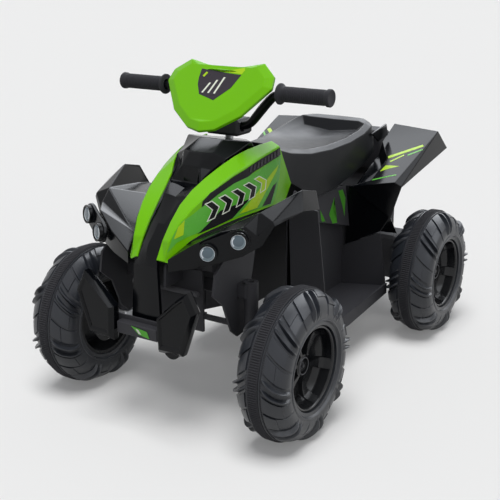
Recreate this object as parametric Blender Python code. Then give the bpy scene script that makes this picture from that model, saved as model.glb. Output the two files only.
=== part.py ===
"""Child's battery-driven ride-on quad, built as separate moulded pieces.

Metres, +Z up. The ground is z = 0, the front faces -Y, the vehicle's left is +X and
the plane x = 0 is the plane of symmetry. y = 0 is half way between the two axles.
"""
import math

import bmesh
import bpy
from mathutils import Matrix, Vector
from mathutils.geometry import interpolate_bezier

# Wheels and stance
AXLE_Y = 0.3457          # each axle's distance from the middle
AXLE_Z = 0.158           # wheel centre, also the rolling radius on the traction band
WHEEL_X = 0.266          # middle plane of each wheel
AXLE_R = 0.006
BORE_R = 0.0065
BAND_HALF = 0.0115       # half width of the traction band
BAND_DEPTH = 0.0040
BAND_STEPS = 40
RIM_R = 0.0876
RIM_GAP = 0.0004
LUG_COUNT = 8
LUG_HEIGHT = 0.0085
LUG_SWEEP = math.radians(14.0)

# Steering
KINGPIN_X = 0.165
ARM_REACH = 0.045        # kingpin to ball pin, and column axis to crank pin at the rod
CRANK_REACH = 0.0352     # column foot to the top of the crank pin
TIE_ROD_Z = 0.193
COLUMN_FOOT = Vector((0.0, -0.3325, 0.2285))
COLUMN_TOP = Vector((0.0, -0.1700, 0.5700))
COLUMN_R = 0.009
PIN_R = 0.0035

# Bodywork
WALL = 0.0030            # moulded wall thickness
BUMPER_FRONT_Y = -0.520
TAIL_REAR_Y = 0.520
FLOOR_Z = 0.118          # top of the footboards
TUNNEL_X = 0.066
FOOTWELL_X = (0.0705, 0.196)
BODY_SIDE_X = 0.098      # body side above the ledge, below the saddle

# Handlebar
BAR_R = 0.0105
GRIP_Y, GRIP_Z = -0.204, 0.667
GRIP_INNER_X, GRIP_OUTER_X = 0.143, 0.262
GRIP_R = 0.0160

# Motors, controls and pedal
MOTOR_Y, MOTOR_Z, MOTOR_R = 0.3480, 0.2150, 0.0180
DASH_CENTRE = Vector((0.0, -0.1270, 0.5182))
DASH_LEAN = math.radians(-16.0)
PEDAL_HEEL = Vector((0.0, 0.0300, FLOOR_Z + 0.0040))

# Number shield, drawn in its own plane: x across, v up the leaning plane
SHIELD_FOOT = Vector((0.0, -0.2755, 0.5862))
SHIELD_LEAN = math.radians(39.4)

SMALLEST_FACET = 1e-7


def clear_scene():
    for obj in list(bpy.data.objects):
        bpy.data.objects.remove(obj, do_unlink=True)


def make_material(name, color, roughness, metallic=0.0):
    mat = bpy.data.materials.new(name)
    mat.use_nodes = True
    shader = mat.node_tree.nodes["Principled BSDF"]
    shader.inputs["Base Color"].default_value = (*color, 1.0)
    shader.inputs["Roughness"].default_value = roughness
    shader.inputs["Metallic"].default_value = metallic
    mat.diffuse_color = (*color, 1.0)
    return mat


clear_scene()
LIME = make_material("lime_gloss", (0.28, 0.66, 0.005), 0.22)
BLACK_GLOSS = make_material("black_gloss", (0.012, 0.013, 0.015), 0.24)
BLACK_MATTE = make_material("black_matte", (0.022, 0.023, 0.026), 0.55)
SEAT_BLACK = make_material("seat_black", (0.030, 0.033, 0.038), 0.50)
TYRE_BLACK = make_material("tyre_black", (0.020, 0.021, 0.024), 0.62)
BAND_RUBBER = make_material("band_rubber", (0.028, 0.028, 0.030), 0.80)
LENS_CLEAR = make_material("lens", (0.35, 0.45, 0.50), 0.08)
STEEL = make_material("zinc_steel", (0.55, 0.56, 0.58), 0.32, 1.0)
GREY_MOULDING = make_material("grey_moulding", (0.10, 0.10, 0.11), 0.50)


def add_object(name, bm, mat, smooth_angle=35.0):
    """Turns a bmesh into an object, shaded smooth below the given angle."""
    mesh = bpy.data.meshes.new(name)
    bm.to_mesh(mesh)
    bm.free()
    mesh.materials.append(mat)
    mesh.shade_smooth()
    mesh.set_sharp_from_angle(angle=math.radians(smooth_angle))
    obj = bpy.data.objects.new(name, mesh)
    bpy.context.scene.collection.objects.link(obj)
    return obj


def mirrored(obj, name):
    """The same piece for the vehicle's other side."""
    twin = obj.copy()
    twin.data = obj.data.copy()
    twin.name = name
    twin.data.name = name
    twin.data.transform(Matrix.Scale(-1.0, 4, (1, 0, 0)))
    twin.data.flip_normals()
    twin.location.x = -obj.location.x
    bpy.context.scene.collection.objects.link(twin)
    for tool in twin.modifiers:
        if tool.type == "BOOLEAN":
            tool.object = mirrored(tool.object, tool.object.name + "_right")
    return twin


def pair_of(obj, stem):
    """Names a left-hand piece and adds its right-hand twin."""
    obj.name = "left_" + stem
    return obj, mirrored(obj, "right_" + stem)


def outward(bm):
    bmesh.ops.recalc_face_normals(bm, faces=bm.faces)
    return bm


def loft(loops, closed_ends=True):
    """A solid through a run of closed loops that share one point count."""
    bm = bmesh.new()
    rings = [[bm.verts.new(point) for point in loop] for loop in loops]
    count = len(rings[0])
    for lower, upper in zip(rings, rings[1:]):
        for i in range(count):
            j = (i + 1) % count
            bm.faces.new((lower[i], lower[j], upper[j], upper[i]))
    if closed_ends:
        bm.faces.new(rings[0])
        bm.faces.new(rings[-1])
    return outward(bm)


def ring_loft(loops):
    """A ring-shaped solid: the last loop joins the first."""
    bm = loft(loops + loops[:1], closed_ends=False)
    bmesh.ops.remove_doubles(bm, verts=bm.verts, dist=SMALLEST_FACET)
    return outward(bm)


def lathe(profiles, poles):
    """A turned solid about X: one (x, r) profile per step, between two points on the axis."""
    bm = bmesh.new()
    front, back = (bm.verts.new((x, 0.0, 0.0)) for x in poles)
    rings = []
    for angle, profile in profiles:
        rings.append([bm.verts.new((x, r * math.cos(angle), r * math.sin(angle)))
                      for x, r in profile])
    for near, far in zip(rings, rings[1:] + rings[:1]):
        for i in range(len(near) - 1):
            bm.faces.new((near[i], near[i + 1], far[i + 1], far[i]))
        bm.faces.new((front, near[0], far[0]))
        bm.faces.new((back, far[-1], near[-1]))
    return outward(bm)


def tube_between(start, end, radius, sides=12):
    """A round bar from one point to another."""
    start, end = Vector(start), Vector(end)
    direction = (end - start).normalized()
    spin = direction.to_track_quat("Z", "Y")
    loops = []
    for centre in (start, end):
        ring = []
        for i in range(sides):
            angle = math.tau * (i + 0.5) / sides
            flat = Vector((math.cos(angle), math.sin(angle), 0.0)) * radius
            ring.append(centre + spin @ flat)
        loops.append(ring)
    return loft(loops)


def box(low, high, chamfer=0.0):
    """A block between two corners, with its edges chamfered if asked."""
    bm = bmesh.new()
    low, high = Vector(low), Vector(high)
    middle, size = (low + high) / 2, high - low
    place = Matrix.Translation(middle) @ Matrix.Diagonal((*size, 1.0))
    bmesh.ops.create_cube(bm, size=1.0, matrix=place)
    if chamfer:
        bmesh.ops.bevel(bm, geom=bm.edges, offset=chamfer, segments=1, profile=0.5,
                        affect="EDGES")
    return outward(bm)


def prism(outline, axis, low, high):
    """An outline given in the two other axes, extruded along one axis."""
    loops = []
    for level in (low, high):
        ring = []
        for a, b in outline:
            ring.append({"x": (level, a, b), "y": (a, level, b), "z": (a, b, level)}[axis])
        loops.append(ring)
    return loft(loops)


def spin_profile(profile, steps):
    """A turned ring about X from (x, r) points, with a flat facet at the bottom."""
    loops = []
    for i in range(steps):
        angle = math.tau * (i + 0.5) / steps - math.pi / 2
        loops.append([Vector((x, r * math.cos(angle), r * math.sin(angle)))
                      for x, r in profile])
    return ring_loft(loops)


def rail(keys, count):
    """A smooth curve through the key points, as evenly spaced points."""
    keys = [Vector(key) for key in keys]
    samples = []
    last = len(keys) - 1
    for i in range(last):
        reach = (keys[i + 1] - keys[i]).length / 3
        before, after = keys[max(i - 1, 0)], keys[min(i + 2, last)]
        leave = (keys[i + 1] - before).normalized() * reach
        arrive = (after - keys[i]).normalized() * reach
        piece = interpolate_bezier(keys[i], keys[i] + leave, keys[i + 1] - arrive,
                                   keys[i + 1], 24)
        samples.extend(piece if i == 0 else piece[1:])
    travel = [0.0]
    for a, b in zip(samples, samples[1:]):
        travel.append(travel[-1] + (b - a).length)
    points, spot = [], 0
    for k in range(count):
        goal = travel[-1] * k / (count - 1)
        while spot < len(samples) - 2 and travel[spot + 1] < goal:
            spot += 1
        share = (goal - travel[spot]) / max(travel[spot + 1] - travel[spot], 1e-9)
        points.append(samples[spot].lerp(samples[spot + 1], min(share, 1.0)))
    return points


def shell(name, points, faces, mat, look_from, wall=WALL):
    """A moulded skin: named corner points, faces between them, wall grown inwards.

    look_from is a point on the outside, from which most of the skin is seen.
    """
    bm = bmesh.new()
    verts = {key: bm.verts.new(point) for key, point in points.items()}
    for face in faces:
        bm.faces.new([verts[key] for key in face])
    outward(bm)
    bm.normal_update()
    eye = Vector(look_from)
    facing = sum(f.calc_area() * f.normal.dot((eye - f.calc_center_median()).normalized())
                 for f in bm.faces)
    if facing < 0:
        bmesh.ops.reverse_faces(bm, faces=bm.faces)
    bmesh.ops.triangulate(bm, faces=bm.faces)
    obj = add_object(name, bm, mat, smooth_angle=20.0)
    thicken = obj.modifiers.new("wall", "SOLIDIFY")
    thicken.thickness = wall
    thicken.offset = -1.0
    thicken.use_even_offset = True
    thicken.use_quality_normals = True
    return obj


def grid_shell(name, rows, mat, look_from, wall=WALL):
    """A skin over rails of equal length, one row of quads between each two."""
    points = {(i, j): p for i, row in enumerate(rows) for j, p in enumerate(row)}
    faces = []
    for i in range(len(rows) - 1):
        for j in range(len(rows[0]) - 1):
            faces.append(((i, j), (i, j + 1), (i + 1, j + 1), (i + 1, j)))
    return shell(name, points, faces, mat, look_from, wall)


def both_hands(half, side_faces, middle_faces):
    """Points and faces of a symmetric skin from its left half.

    Each middle face is given by its left-hand corners, in order from one edge to the other.
    """
    points = {}
    for key, (x, y, z) in half.items():
        points["left", key] = Vector((x, y, z))
        points["right", key] = Vector((-x, y, z))
    faces = []
    for hand in ("left", "right"):
        faces.extend([(hand, key) for key in face] for face in side_faces)
    for face in middle_faces:
        faces.append([("left", key) for key in face] + [("right", key) for key in face[::-1]])
    return points, faces


def cut(obj, cutter_bm, name):
    """Subtracts a closed cutter from a piece."""
    cutter = add_object(name, cutter_bm, BLACK_MATTE)
    cutter.hide_render = True
    cutter.display_type = "WIRE"
    tool = obj.modifiers.new(name, "BOOLEAN")
    tool.operation = "DIFFERENCE"
    tool.solver = "EXACT"
    tool.object = cutter
    return cutter


def fuse(obj, other_bm, name):
    """Joins a closed lump to a piece, as one body."""
    helper = add_object(name, other_bm, BLACK_MATTE)
    helper.hide_render = True
    helper.display_type = "WIRE"
    tool = obj.modifiers.new(name, "BOOLEAN")
    tool.operation = "UNION"
    tool.solver = "EXACT"
    tool.object = helper
    return helper


# Wheels

def tyre_profile(side):
    """Half of the tyre's outer skin from the band to the bead, as (x, radius, lug share).

    The lug share says how far a paddle stands proud there: none at the band and bead.
    """
    skin = [(0.0122, 0.1525, 0.0), (0.0300, 0.1470, 0.9), (0.0500, 0.1330, 1.0),
            (0.0575, 0.1160, 0.55), (0.0560, 0.0990, 0.0)]
    return [(side * x, r, lug) for x, r, lug in skin]


def tyre_section(angle, raised, bead):
    """One radial section of the tyre. Paddles trail behind towards the bead."""
    section = []
    for side in (-1, 1):
        points = tyre_profile(side)
        if side < 0:
            points = points[::-1]
        for x, r, lug in points:
            along = max(abs(x) - BAND_HALF, 0.0) / 0.045
            turn = angle + LUG_SWEEP * along
            lift = LUG_HEIGHT * lug * raised
            radius = min(r + lift * 0.8, AXLE_Z - 0.0012)
            out = x + math.copysign(lift * 0.45 * along, x)
            section.append(Vector((out, radius * math.cos(turn), radius * math.sin(turn))))
    turn = angle + LUG_SWEEP
    for x in (0.0500, -0.0500):
        section.append(Vector((x, bead * math.cos(turn), bead * math.sin(turn))))
    return section


def build_tyre(name):
    """Blow-moulded tyre: a ring whose shoulders carry curved paddles."""
    pitch = math.tau / LUG_COUNT
    turns = [(0.0, 0), (0.055, 1), (0.245, 1), (0.30, 0), (0.533, 0), (0.767, 0)]
    bead = (RIM_R + RIM_GAP) / math.cos(pitch * 0.234 / 2)
    loops = []
    for i in range(LUG_COUNT):
        for share, raised in turns:
            loops.append(tyre_section((i + share) * pitch, raised, bead))
    return add_object(name, ring_loft(loops), TYRE_BLACK, smooth_angle=50.0)


def build_band(name):
    """Rubber traction band, sunk into the crown. Its flats touch the ground."""
    outer = AXLE_Z / math.cos(math.pi / BAND_STEPS)
    inner = outer - BAND_DEPTH
    half = BAND_HALF
    profile = [(-half, inner), (-half, outer), (half, outer), (half, inner)]
    return add_object(name, spin_profile(profile, BAND_STEPS), BAND_RUBBER)


RIM_SPOKES = 6


def build_rim(name):
    """Deep-dish rim: a lip, a drum, a pocketed disc and a domed cap over a blind bore."""
    lip, back = 0.0455, -0.0480
    steps = RIM_SPOKES * 4
    profiles = []
    for i in range(steps):
        phase = i % 4
        angle = math.tau * i / steps + (0.06 if phase in (0, 2) else -0.06)
        dish = 0.0150 if phase in (0, 1) else 0.0075
        profiles.append((angle, [
            (0.0225, 0.0150), (0.0225, 0.0230), (dish, 0.0330), (dish, 0.0600),
            (0.0260, 0.0690), (lip, 0.0790), (lip, RIM_R), (back, RIM_R),
            (back, RIM_R - 0.0070), (0.0000, 0.0700), (0.0010, 0.0190), (-0.0430, 0.0190),
            (-0.0430, BORE_R), (0.0140, BORE_R)]))
    return add_object(name, lathe(profiles, (0.0185, 0.0140)), BLACK_MATTE,
                      smooth_angle=40.0)


def build_wheels():
    """Four wheels. Each piece's origin is on its spin axis, at the wheel's middle."""
    for end, y in (("front", -AXLE_Y), ("rear", AXLE_Y)):
        for side, sign in (("left", 1), ("right", -1)):
            stem = end + "_" + side
            for build, part in ((build_tyre, "tyre"), (build_rim, "rim"),
                                (build_band, "traction_band")):
                obj = build(stem + "_" + part)
                if sign < 0:
                    obj.data.transform(Matrix.Scale(-1.0, 4, (1, 0, 0)))
                    obj.data.flip_normals()
                obj.location = (sign * WHEEL_X, y, AXLE_Z)


# Steering

def column_point(height):
    """A point on the steering axis at the given height."""
    share = (height - COLUMN_FOOT.z) / (COLUMN_TOP.z - COLUMN_FOOT.z)
    return COLUMN_FOOT.lerp(COLUMN_TOP, share)


def build_steering_column():
    """Bent-foot column: a straight bar whose crank pin drives the tie rod."""
    axis = (COLUMN_TOP - COLUMN_FOOT).normalized()
    back = Vector((0.0, axis.z, -axis.y))
    tip = COLUMN_FOOT + back * CRANK_REACH
    column = add_object("steering_column",
                        tube_between(COLUMN_FOOT - axis * 0.004, column_point(0.592),
                                     COLUMN_R, 14), STEEL)
    side = Vector((0.0075, 0, 0))
    lift = axis * 0.004
    loops = []
    for centre in (COLUMN_FOOT, tip + back * 0.008):
        loops.append([centre - side - lift, centre + side - lift, centre + side + lift,
                      centre - side + lift])
    fuse(column, loft(loops), "crank_arm")
    fuse(column, tube_between(tip, (0.0, tip.y, TIE_ROD_Z - 0.0125), PIN_R, 10), "crank_pin")
    return column


def build_knuckles():
    """Steering knuckle: kingpin, block, stub axle and rearward steering arm."""
    block_low, block_high = AXLE_Z - 0.015, 0.1870
    knuckle = add_object("knuckle", box(
        (KINGPIN_X - 0.013, -AXLE_Y - 0.014, block_low),
        (KINGPIN_X + 0.016, -AXLE_Y + 0.014, block_high), 0.003), STEEL)
    fuse(knuckle, tube_between((KINGPIN_X, -AXLE_Y, 0.17), (KINGPIN_X, -AXLE_Y, 0.305),
                               AXLE_R, 14), "kingpin")
    fuse(knuckle, tube_between((KINGPIN_X, -AXLE_Y, AXLE_Z),
                               (WHEEL_X + 0.0130, -AXLE_Y, AXLE_Z), AXLE_R, 14), "stub")
    arm_low, arm_high = 0.1780, 0.1855
    arm = box((KINGPIN_X - 0.008, -AXLE_Y, arm_low),
              (KINGPIN_X + 0.008, -AXLE_Y + ARM_REACH + 0.008, arm_high))
    fuse(knuckle, arm, "steering_arm")
    ball_y = -AXLE_Y + ARM_REACH
    fuse(knuckle, tube_between((KINGPIN_X, ball_y, 0.18), (KINGPIN_X, ball_y, 0.2005),
                               PIN_R, 10), "ball_pin")
    return pair_of(knuckle, "knuckle")


def build_tie_rod():
    """Track rod: flat eyes over the arm pins and a plate that the crank pin enters."""
    y = -AXLE_Y + ARM_REACH
    low, high = 0.1862, TIE_ROD_Z + 0.0035
    eye = 0.0095
    rod = add_object("tie_rod", box((-KINGPIN_X - eye, y - 0.0045, low),
                                    (KINGPIN_X + eye, y + 0.0045, high)),
                     BLACK_MATTE)
    for sign in (-1, 1):
        end = tube_between((sign * KINGPIN_X, y, low), (sign * KINGPIN_X, y, high), eye, 12)
        fuse(rod, end, "tie_rod_eye_%s" % ("left" if sign > 0 else "right"))
    fuse(rod, box((-0.016, y - 0.012, low), (0.016, y + 0.012, high)), "tie_rod_plate")
    for sign in (-1, 1):
        hole = tube_between((sign * KINGPIN_X, y, 0.17), (sign * KINGPIN_X, y, 0.21),
                            PIN_R + (0.0004 if sign > 0 else 0.0010), 12)
        cut(rod, hole, "eye_hole_%s" % ("left" if sign > 0 else "right"))
    cut(rod, tube_between((0, y, 0.17), (0, y, 0.21), PIN_R + 0.0020, 14), "crank_hole")
    return rod


def build_axle_carrier():
    """Front cross beam with a kingpin sleeve at each end and the column's lower bearing."""
    y = -AXLE_Y
    beam_low, beam_high = 0.2780, 0.3080
    carrier = add_object("front_axle_carrier", box(
        (-KINGPIN_X, y - 0.018, beam_low), (KINGPIN_X, y + 0.018, beam_high), 0.003),
        BLACK_MATTE)
    for name, x in (("left", KINGPIN_X), ("right", -KINGPIN_X)):
        fuse(carrier, tube_between((x, y, 0.1885), (x, y, beam_high + 0.004), 0.0150, 16),
             "sleeve_" + name)
    boss = box((-0.022, y + 0.010, beam_low), (0.022, -0.276, beam_high))
    fuse(carrier, boss, "column_boss")
    for name, x in (("left", KINGPIN_X), ("right", -KINGPIN_X)):
        cut(carrier, tube_between((x, y, 0.17), (x, y, 0.33), BORE_R, 16),
            "kingpin_bore_" + name)
    cut(carrier, tube_between(column_point(0.24), column_point(0.35), COLUMN_R + 0.0006, 16),
        "column_bore")
    return carrier


# Handlebar group

def build_handlebar():
    """One bent steel tube from grip to grip, straight where the clamp and grips hold it."""
    half = [(GRIP_OUTER_X - 0.004, GRIP_Y, GRIP_Z), (0.1395, GRIP_Y, GRIP_Z),
            (0.125, -0.2015, 0.6590), (0.096, -0.194, 0.6320), (0.069, -0.189, 0.6015),
            (0.052, -0.187, 0.588)]
    left = [Vector(p) for p in half]
    path = left + [Vector((-p.x, p.y, p.z)) for p in left[::-1]]
    loops = []
    for i, centre in enumerate(path):
        before, after = path[max(i - 1, 0)], path[min(i + 1, len(path) - 1)]
        along = (after - before).normalized()
        side = along.cross(Vector((0, 1, 0))).normalized()
        up = side.cross(along)
        loops.append([centre + (side * math.cos(a) + up * math.sin(a)) * BAR_R
                      for a in (math.tau * k / 10 for k in range(10))])
    return add_object("handlebar", loft(loops), BLACK_MATTE)


def build_grips():
    """Slip-on grips with a wide inner flange and a capped outer end."""
    bore = BAR_R + 0.0004
    end = GRIP_OUTER_X - 0.0036
    profile = [(GRIP_OUTER_X, 0.0175), (GRIP_OUTER_X - 0.006, 0.0180),
               (GRIP_OUTER_X - 0.009, GRIP_R - 0.0008), (GRIP_INNER_X + 0.008, GRIP_R),
               (GRIP_INNER_X + 0.005, 0.0215), (GRIP_INNER_X, 0.0215), (GRIP_INNER_X, bore),
               (end, bore)]
    steps = 16
    bm = lathe([(math.tau * i / steps, profile) for i in range(steps)], (GRIP_OUTER_X, end))
    bmesh.ops.translate(bm, verts=bm.verts, vec=(0, GRIP_Y, GRIP_Z))
    return pair_of(add_object("grip", bm, BLACK_MATTE), "grip")


def build_clamp():
    """Moulded stem block that holds the tube on the column."""
    clamp = add_object("handlebar_clamp", box(
        (-0.043, -0.206, 0.5690), (0.043, -0.146, 0.6040), 0.006), BLACK_MATTE)
    cut(clamp, tube_between((-0.06, -0.187, 0.588), (0.06, -0.187, 0.588), BAR_R + 0.0006, 16),
        "bar_seat")
    cut(clamp, tube_between(column_point(0.54), column_point(0.5925), COLUMN_R + 0.0004, 16),
        "column_seat")
    return clamp


def shield_point(x, v, proud=0.0):
    """Shield plane to world: x across, v up the plane, proud towards the front."""
    up = Vector((0, math.sin(SHIELD_LEAN), math.cos(SHIELD_LEAN)))
    out = Vector((0, -math.cos(SHIELD_LEAN), math.sin(SHIELD_LEAN)))
    return SHIELD_FOOT + Vector((x, 0, 0)) + up * v + out * proud


def build_number_shield():
    """Shield-shaped plate cover: a chamfered border round a raised, creased face."""
    edge = [(0.0, 0.1500), (0.045, 0.1560), (0.092, 0.1674), (0.126, 0.1380),
            (0.131, 0.1090), (0.084, 0.0400), (0.034, 0.0030), (0.0, -0.0060)]
    face = [(0.0, 0.1350), (0.042, 0.1400), (0.084, 0.1510), (0.108, 0.1290),
            (0.112, 0.1090), (0.070, 0.0500), (0.030, 0.0200), (0.0, 0.0130)]
    rows = []
    for outline, proud in ((edge, 0.005), (edge, 0.011), (face, 0.017)):
        outline = outline + [(-x, v) for x, v in outline[-2:0:-1]]
        rows.append([shield_point(x, v, proud + (0.003 if x == 0 else 0.0))
                     for x, v in outline])
    points = {(i, j): p for i, row in enumerate(rows) for j, p in enumerate(row)}
    count = len(rows[0])
    faces = []
    for i in range(2):
        for j in range(count):
            k = (j + 1) % count
            faces.append(((i, j), (i, k), (i + 1, k), (i + 1, j)))
    last = len(face) - 1
    for j in range(1, last + 1):
        corners = [(2, j - 1), (2, j), (2, (count - j) % count), (2, (count - j + 1) % count)]
        faces.append(tuple(dict.fromkeys(corners)))
    return shell("number_shield", points, faces, LIME, (0, -1.0, 1.4))


# Front bodywork

STATIONS = 11
LIP_DEPTH = 0.0045
HOOD_DEPTH = 0.0080


def panel_rails():
    """The edges of a side panel: its inner lip, the hood edge, the crest, and the foot."""
    inner = rail([(0.0235, -0.470, 0.366), (0.0245, -0.440, 0.414), (0.0285, -0.385, 0.4695),
                  (0.0405, -0.332, 0.5024), (0.0530, -0.304, 0.5200), (0.0660, -0.277, 0.5365),
                  (0.0765, -0.220, 0.5510), (0.0830, -0.138, 0.5550)], STATIONS)
    lip = []
    for i, point in enumerate(inner):
        along = inner[min(i + 1, STATIONS - 1)] - inner[max(i - 1, 0)]
        inward = Vector((0, along.z, -along.y)).normalized()
        lip.append(point + inward * LIP_DEPTH)
    crest = rail([(0.0400, -0.466, 0.364), (0.0430, -0.4550, 0.400), (0.0530, -0.428, 0.436),
                  (0.0690, -0.376, 0.474), (0.0850, -0.307, 0.505), (0.098, -0.2406, 0.525),
                  (0.105, -0.138, 0.545)], STATIONS)
    foot = rail([(0.0470, -0.462, 0.362), (0.0700, -0.415, 0.400), (0.0880, -0.365, 0.414),
                 (0.1050, -0.300, 0.4235), (0.1140, -0.250, 0.426), (0.120, -0.188, 0.428)],
                STATIONS)
    return lip, inner, crest, foot


def build_side_panels():
    """Lime panel: a rounded crest from nose to tower and a flat flank that turns in."""
    points, faces = {}, []
    for i, row in enumerate(panel_rails()):
        for j, p in enumerate(row):
            points[i, j] = p
    for i in range(3):
        for j in range(STATIONS - 1):
            faces.append(((i, j), (i, j + 1), (i + 1, j + 1), (i + 1, j)))
    last = STATIONS - 1
    points["pillar_rear"] = Vector((0.101, -0.080, 0.452))
    points["pillar_foot"] = Vector((0.115, -0.130, 0.424))
    faces.append(((2, last), "pillar_rear", "pillar_foot", (3, last)))
    panel = shell("side_panel", points, faces, LIME, (0.6, -0.5, 0.9), wall=0.0025)
    return pair_of(panel, "side_panel")


def build_hood():
    """Black hood and nose column between the panels, stepped down to the front."""
    # centre y, centre z, edge x, edge y, edge z
    strap = [(-0.3388, 0.4812, 0.0366, -0.3385, 0.4895), (-0.3710, 0.4695, 0.0288, -0.3700, 0.4730),
             (-0.3800, 0.4590, 0.0276, -0.3780, 0.4655), (-0.4100, 0.4395, 0.0256, -0.4080, 0.4385),
             (-0.4285, 0.4285, 0.0242, -0.4250, 0.4240), (-0.4390, 0.4165, 0.0238, -0.4360, 0.4110),
             (-0.4500, 0.4050, 0.0234, -0.4470, 0.3985), (-0.4630, 0.3925, 0.0228, -0.4590, 0.3800),
             (-0.4690, 0.3770, 0.0226, -0.4670, 0.3650), (-0.4755, 0.3520, 0.0290, -0.4740, 0.3500),
             (-0.4790, 0.2360, 0.0360, -0.4770, 0.2360)]
    centres = [Vector((0, y, z)) for y, z, *_ in strap]
    loops = []
    for i, (centre, (_, _, x, y, z)) in enumerate(zip(centres, strap)):
        along = centres[min(i + 1, len(strap) - 1)] - centres[max(i - 1, 0)]
        deep = Vector((0, -along.z, along.y)).normalized() * HOOD_DEPTH
        edge, other = Vector((x, y, z)), Vector((-x, y, z))
        middle, far_middle = centre.lerp(edge, 0.55), centre.lerp(other, 0.55)
        middle.z += 0.0010
        far_middle.z += 0.0010
        loops.append([other, far_middle, centre, middle, edge, edge + deep, centre + deep,
                      other + deep])
    return add_object("hood_nose", loft(loops), BLACK_GLOSS, smooth_angle=20.0)


def build_tower():
    """Faceted steering tower between the panels, with a lower shelf behind its crown."""
    half = {
        "toe": (0.0190, -0.3345, 0.4830), "nose": (0.0189, -0.3188, 0.4876),
        "heel": (0.0345, -0.3345, 0.4932), "skirt": (0.0368, -0.3330, 0.5014),
        "brow": (0.0222, -0.3172, 0.5229), "cheek": (0.0420, -0.2980, 0.5174),
        "rim_front": (0.0618, -0.2790, 0.5362), "rim_rear": (0.0722, -0.2200, 0.5520),
        "waist_side": (0.0690, -0.2490, 0.5465), "facet_side": (0.0370, -0.2891, 0.5481),
        "facet_foot": (0.0169, -0.2961, 0.5478), "crown_front": (0.0284, -0.2423, 0.5692),
        "crown_side": (0.0822, -0.2127, 0.5648), "crown_rear": (0.0300, -0.1500, 0.5545),
        "drop_side": (0.0690, -0.1680, 0.5260), "drop_mid": (0.0280, -0.1460, 0.5205),
        "shelf_end": (0.0740, -0.1080, 0.5115), "base_end": (0.0740, -0.1080, 0.5000),
    }
    side_faces = [
        ("facet_side", "crown_front", "facet_foot"), ("facet_foot", "brow", "facet_side"),
        ("crown_front", "facet_side", "waist_side", "crown_side"),
        ("facet_side", "cheek", "rim_front", "waist_side"),
        ("cheek", "heel", "skirt", "rim_front"),
        ("facet_side", "brow", "nose", "heel", "cheek"), ("nose", "toe", "heel"),
        ("waist_side", "rim_front", "rim_rear", "crown_side"),
        ("rim_rear", "drop_side", "crown_side"), ("drop_side", "base_end", "shelf_end"),
        ("crown_side", "drop_side", "drop_mid", "crown_rear"),
    ]
    middle_faces = [("toe", "nose"), ("nose", "brow"), ("brow", "facet_foot"),
                    ("facet_foot", "crown_front"), ("crown_front", "crown_side", "crown_rear"),
                    ("crown_rear", "drop_mid"), ("drop_mid", "drop_side", "shelf_end")]
    points, faces = both_hands(half, side_faces, middle_faces)
    tower = shell("steering_tower", points, faces, BLACK_GLOSS, (0, -1.5, 1.5))
    cut(tower, tube_between(column_point(0.48), column_point(0.60), COLUMN_R + 0.0010, 16),
        "tower_bore")
    return tower


def build_front_fenders():
    """Folded fender: inner facets, a spine that rises to the rear fin, and the lamp shelf."""
    p = {
        "in_front": (0.0500, -0.4660, 0.3700), "in_1": (0.0740, -0.4200, 0.3990),
        "in_2": (0.1060, -0.3300, 0.4190), "in_3": (0.1220, -0.2350, 0.4240),
        "in_rear": (0.1240, -0.1620, 0.4200),
        "shelf_0": (0.1000, -0.4560, 0.4050), "shelf_1": (0.1500, -0.4300, 0.4340),
        "shelf_2": (0.1782, -0.3908, 0.4384), "lamp_corner": (0.1967, -0.3746, 0.4172),
        "ridge": (0.1894, -0.3542, 0.4599), "spine_front": (0.2226, -0.3585, 0.4460),
        "peak_front": (0.2271, -0.2551, 0.4904), "peak_rear": (0.2296, -0.1996, 0.4777),
        "fin_rear": (0.2241, -0.1731, 0.4311), "fin_root": (0.2070, -0.2340, 0.4445),
        "skirt_front": (0.2260, -0.3580, 0.4380), "skirt_mid": (0.2490, -0.2883, 0.4579),
        "skirt_end": (0.2450, -0.2125, 0.4417), "low_4": (0.2050, -0.3689, 0.3989),
        "low_3": (0.1820, -0.4010, 0.3820), "low_2": (0.1400, -0.4330, 0.3680),
        "low_1": (0.1000, -0.4500, 0.3560), "low_0": (0.0500, -0.4660, 0.3450),
    }
    faces = [
        ("in_front", "in_1", "shelf_0"), ("in_1", "ridge", "shelf_2", "shelf_1", "shelf_0"),
        ("in_1", "in_2", "in_3", "fin_root", "ridge"), ("in_3", "in_rear", "fin_rear", "fin_root"),
        ("peak_front", "peak_rear", "fin_rear", "fin_root"),
        ("peak_front", "fin_root", "ridge", "spine_front"),
        ("ridge", "spine_front", "lamp_corner", "shelf_2"),
        ("spine_front", "peak_front", "skirt_mid", "skirt_front"),
        ("peak_front", "peak_rear", "skirt_end", "skirt_mid"),
        ("peak_rear", "fin_rear", "skirt_end"), ("spine_front", "skirt_front", "lamp_corner"),
        ("lamp_corner", "skirt_front", "low_4", "low_3"), ("shelf_2", "lamp_corner", "low_3"),
        ("shelf_1", "shelf_2", "low_3", "low_2"), ("shelf_0", "shelf_1", "low_2", "low_1"),
        ("in_front", "shelf_0", "low_1", "low_0"),
    ]
    points = {key: Vector(value) for key, value in p.items()}
    fender = shell("front_fender", points, faces, BLACK_GLOSS, (0.6, -1.0, 0.9))
    return pair_of(fender, "front_fender")


LAMPS = {"inner": Vector((0.136, -0.453, 0.394)), "outer": Vector((0.187, -0.424, 0.418))}
LAMP_FACING = Vector((0.42, -0.90, 0.08)).normalized()
LAMP_R = 0.0195
POD_R = 0.0230


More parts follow.
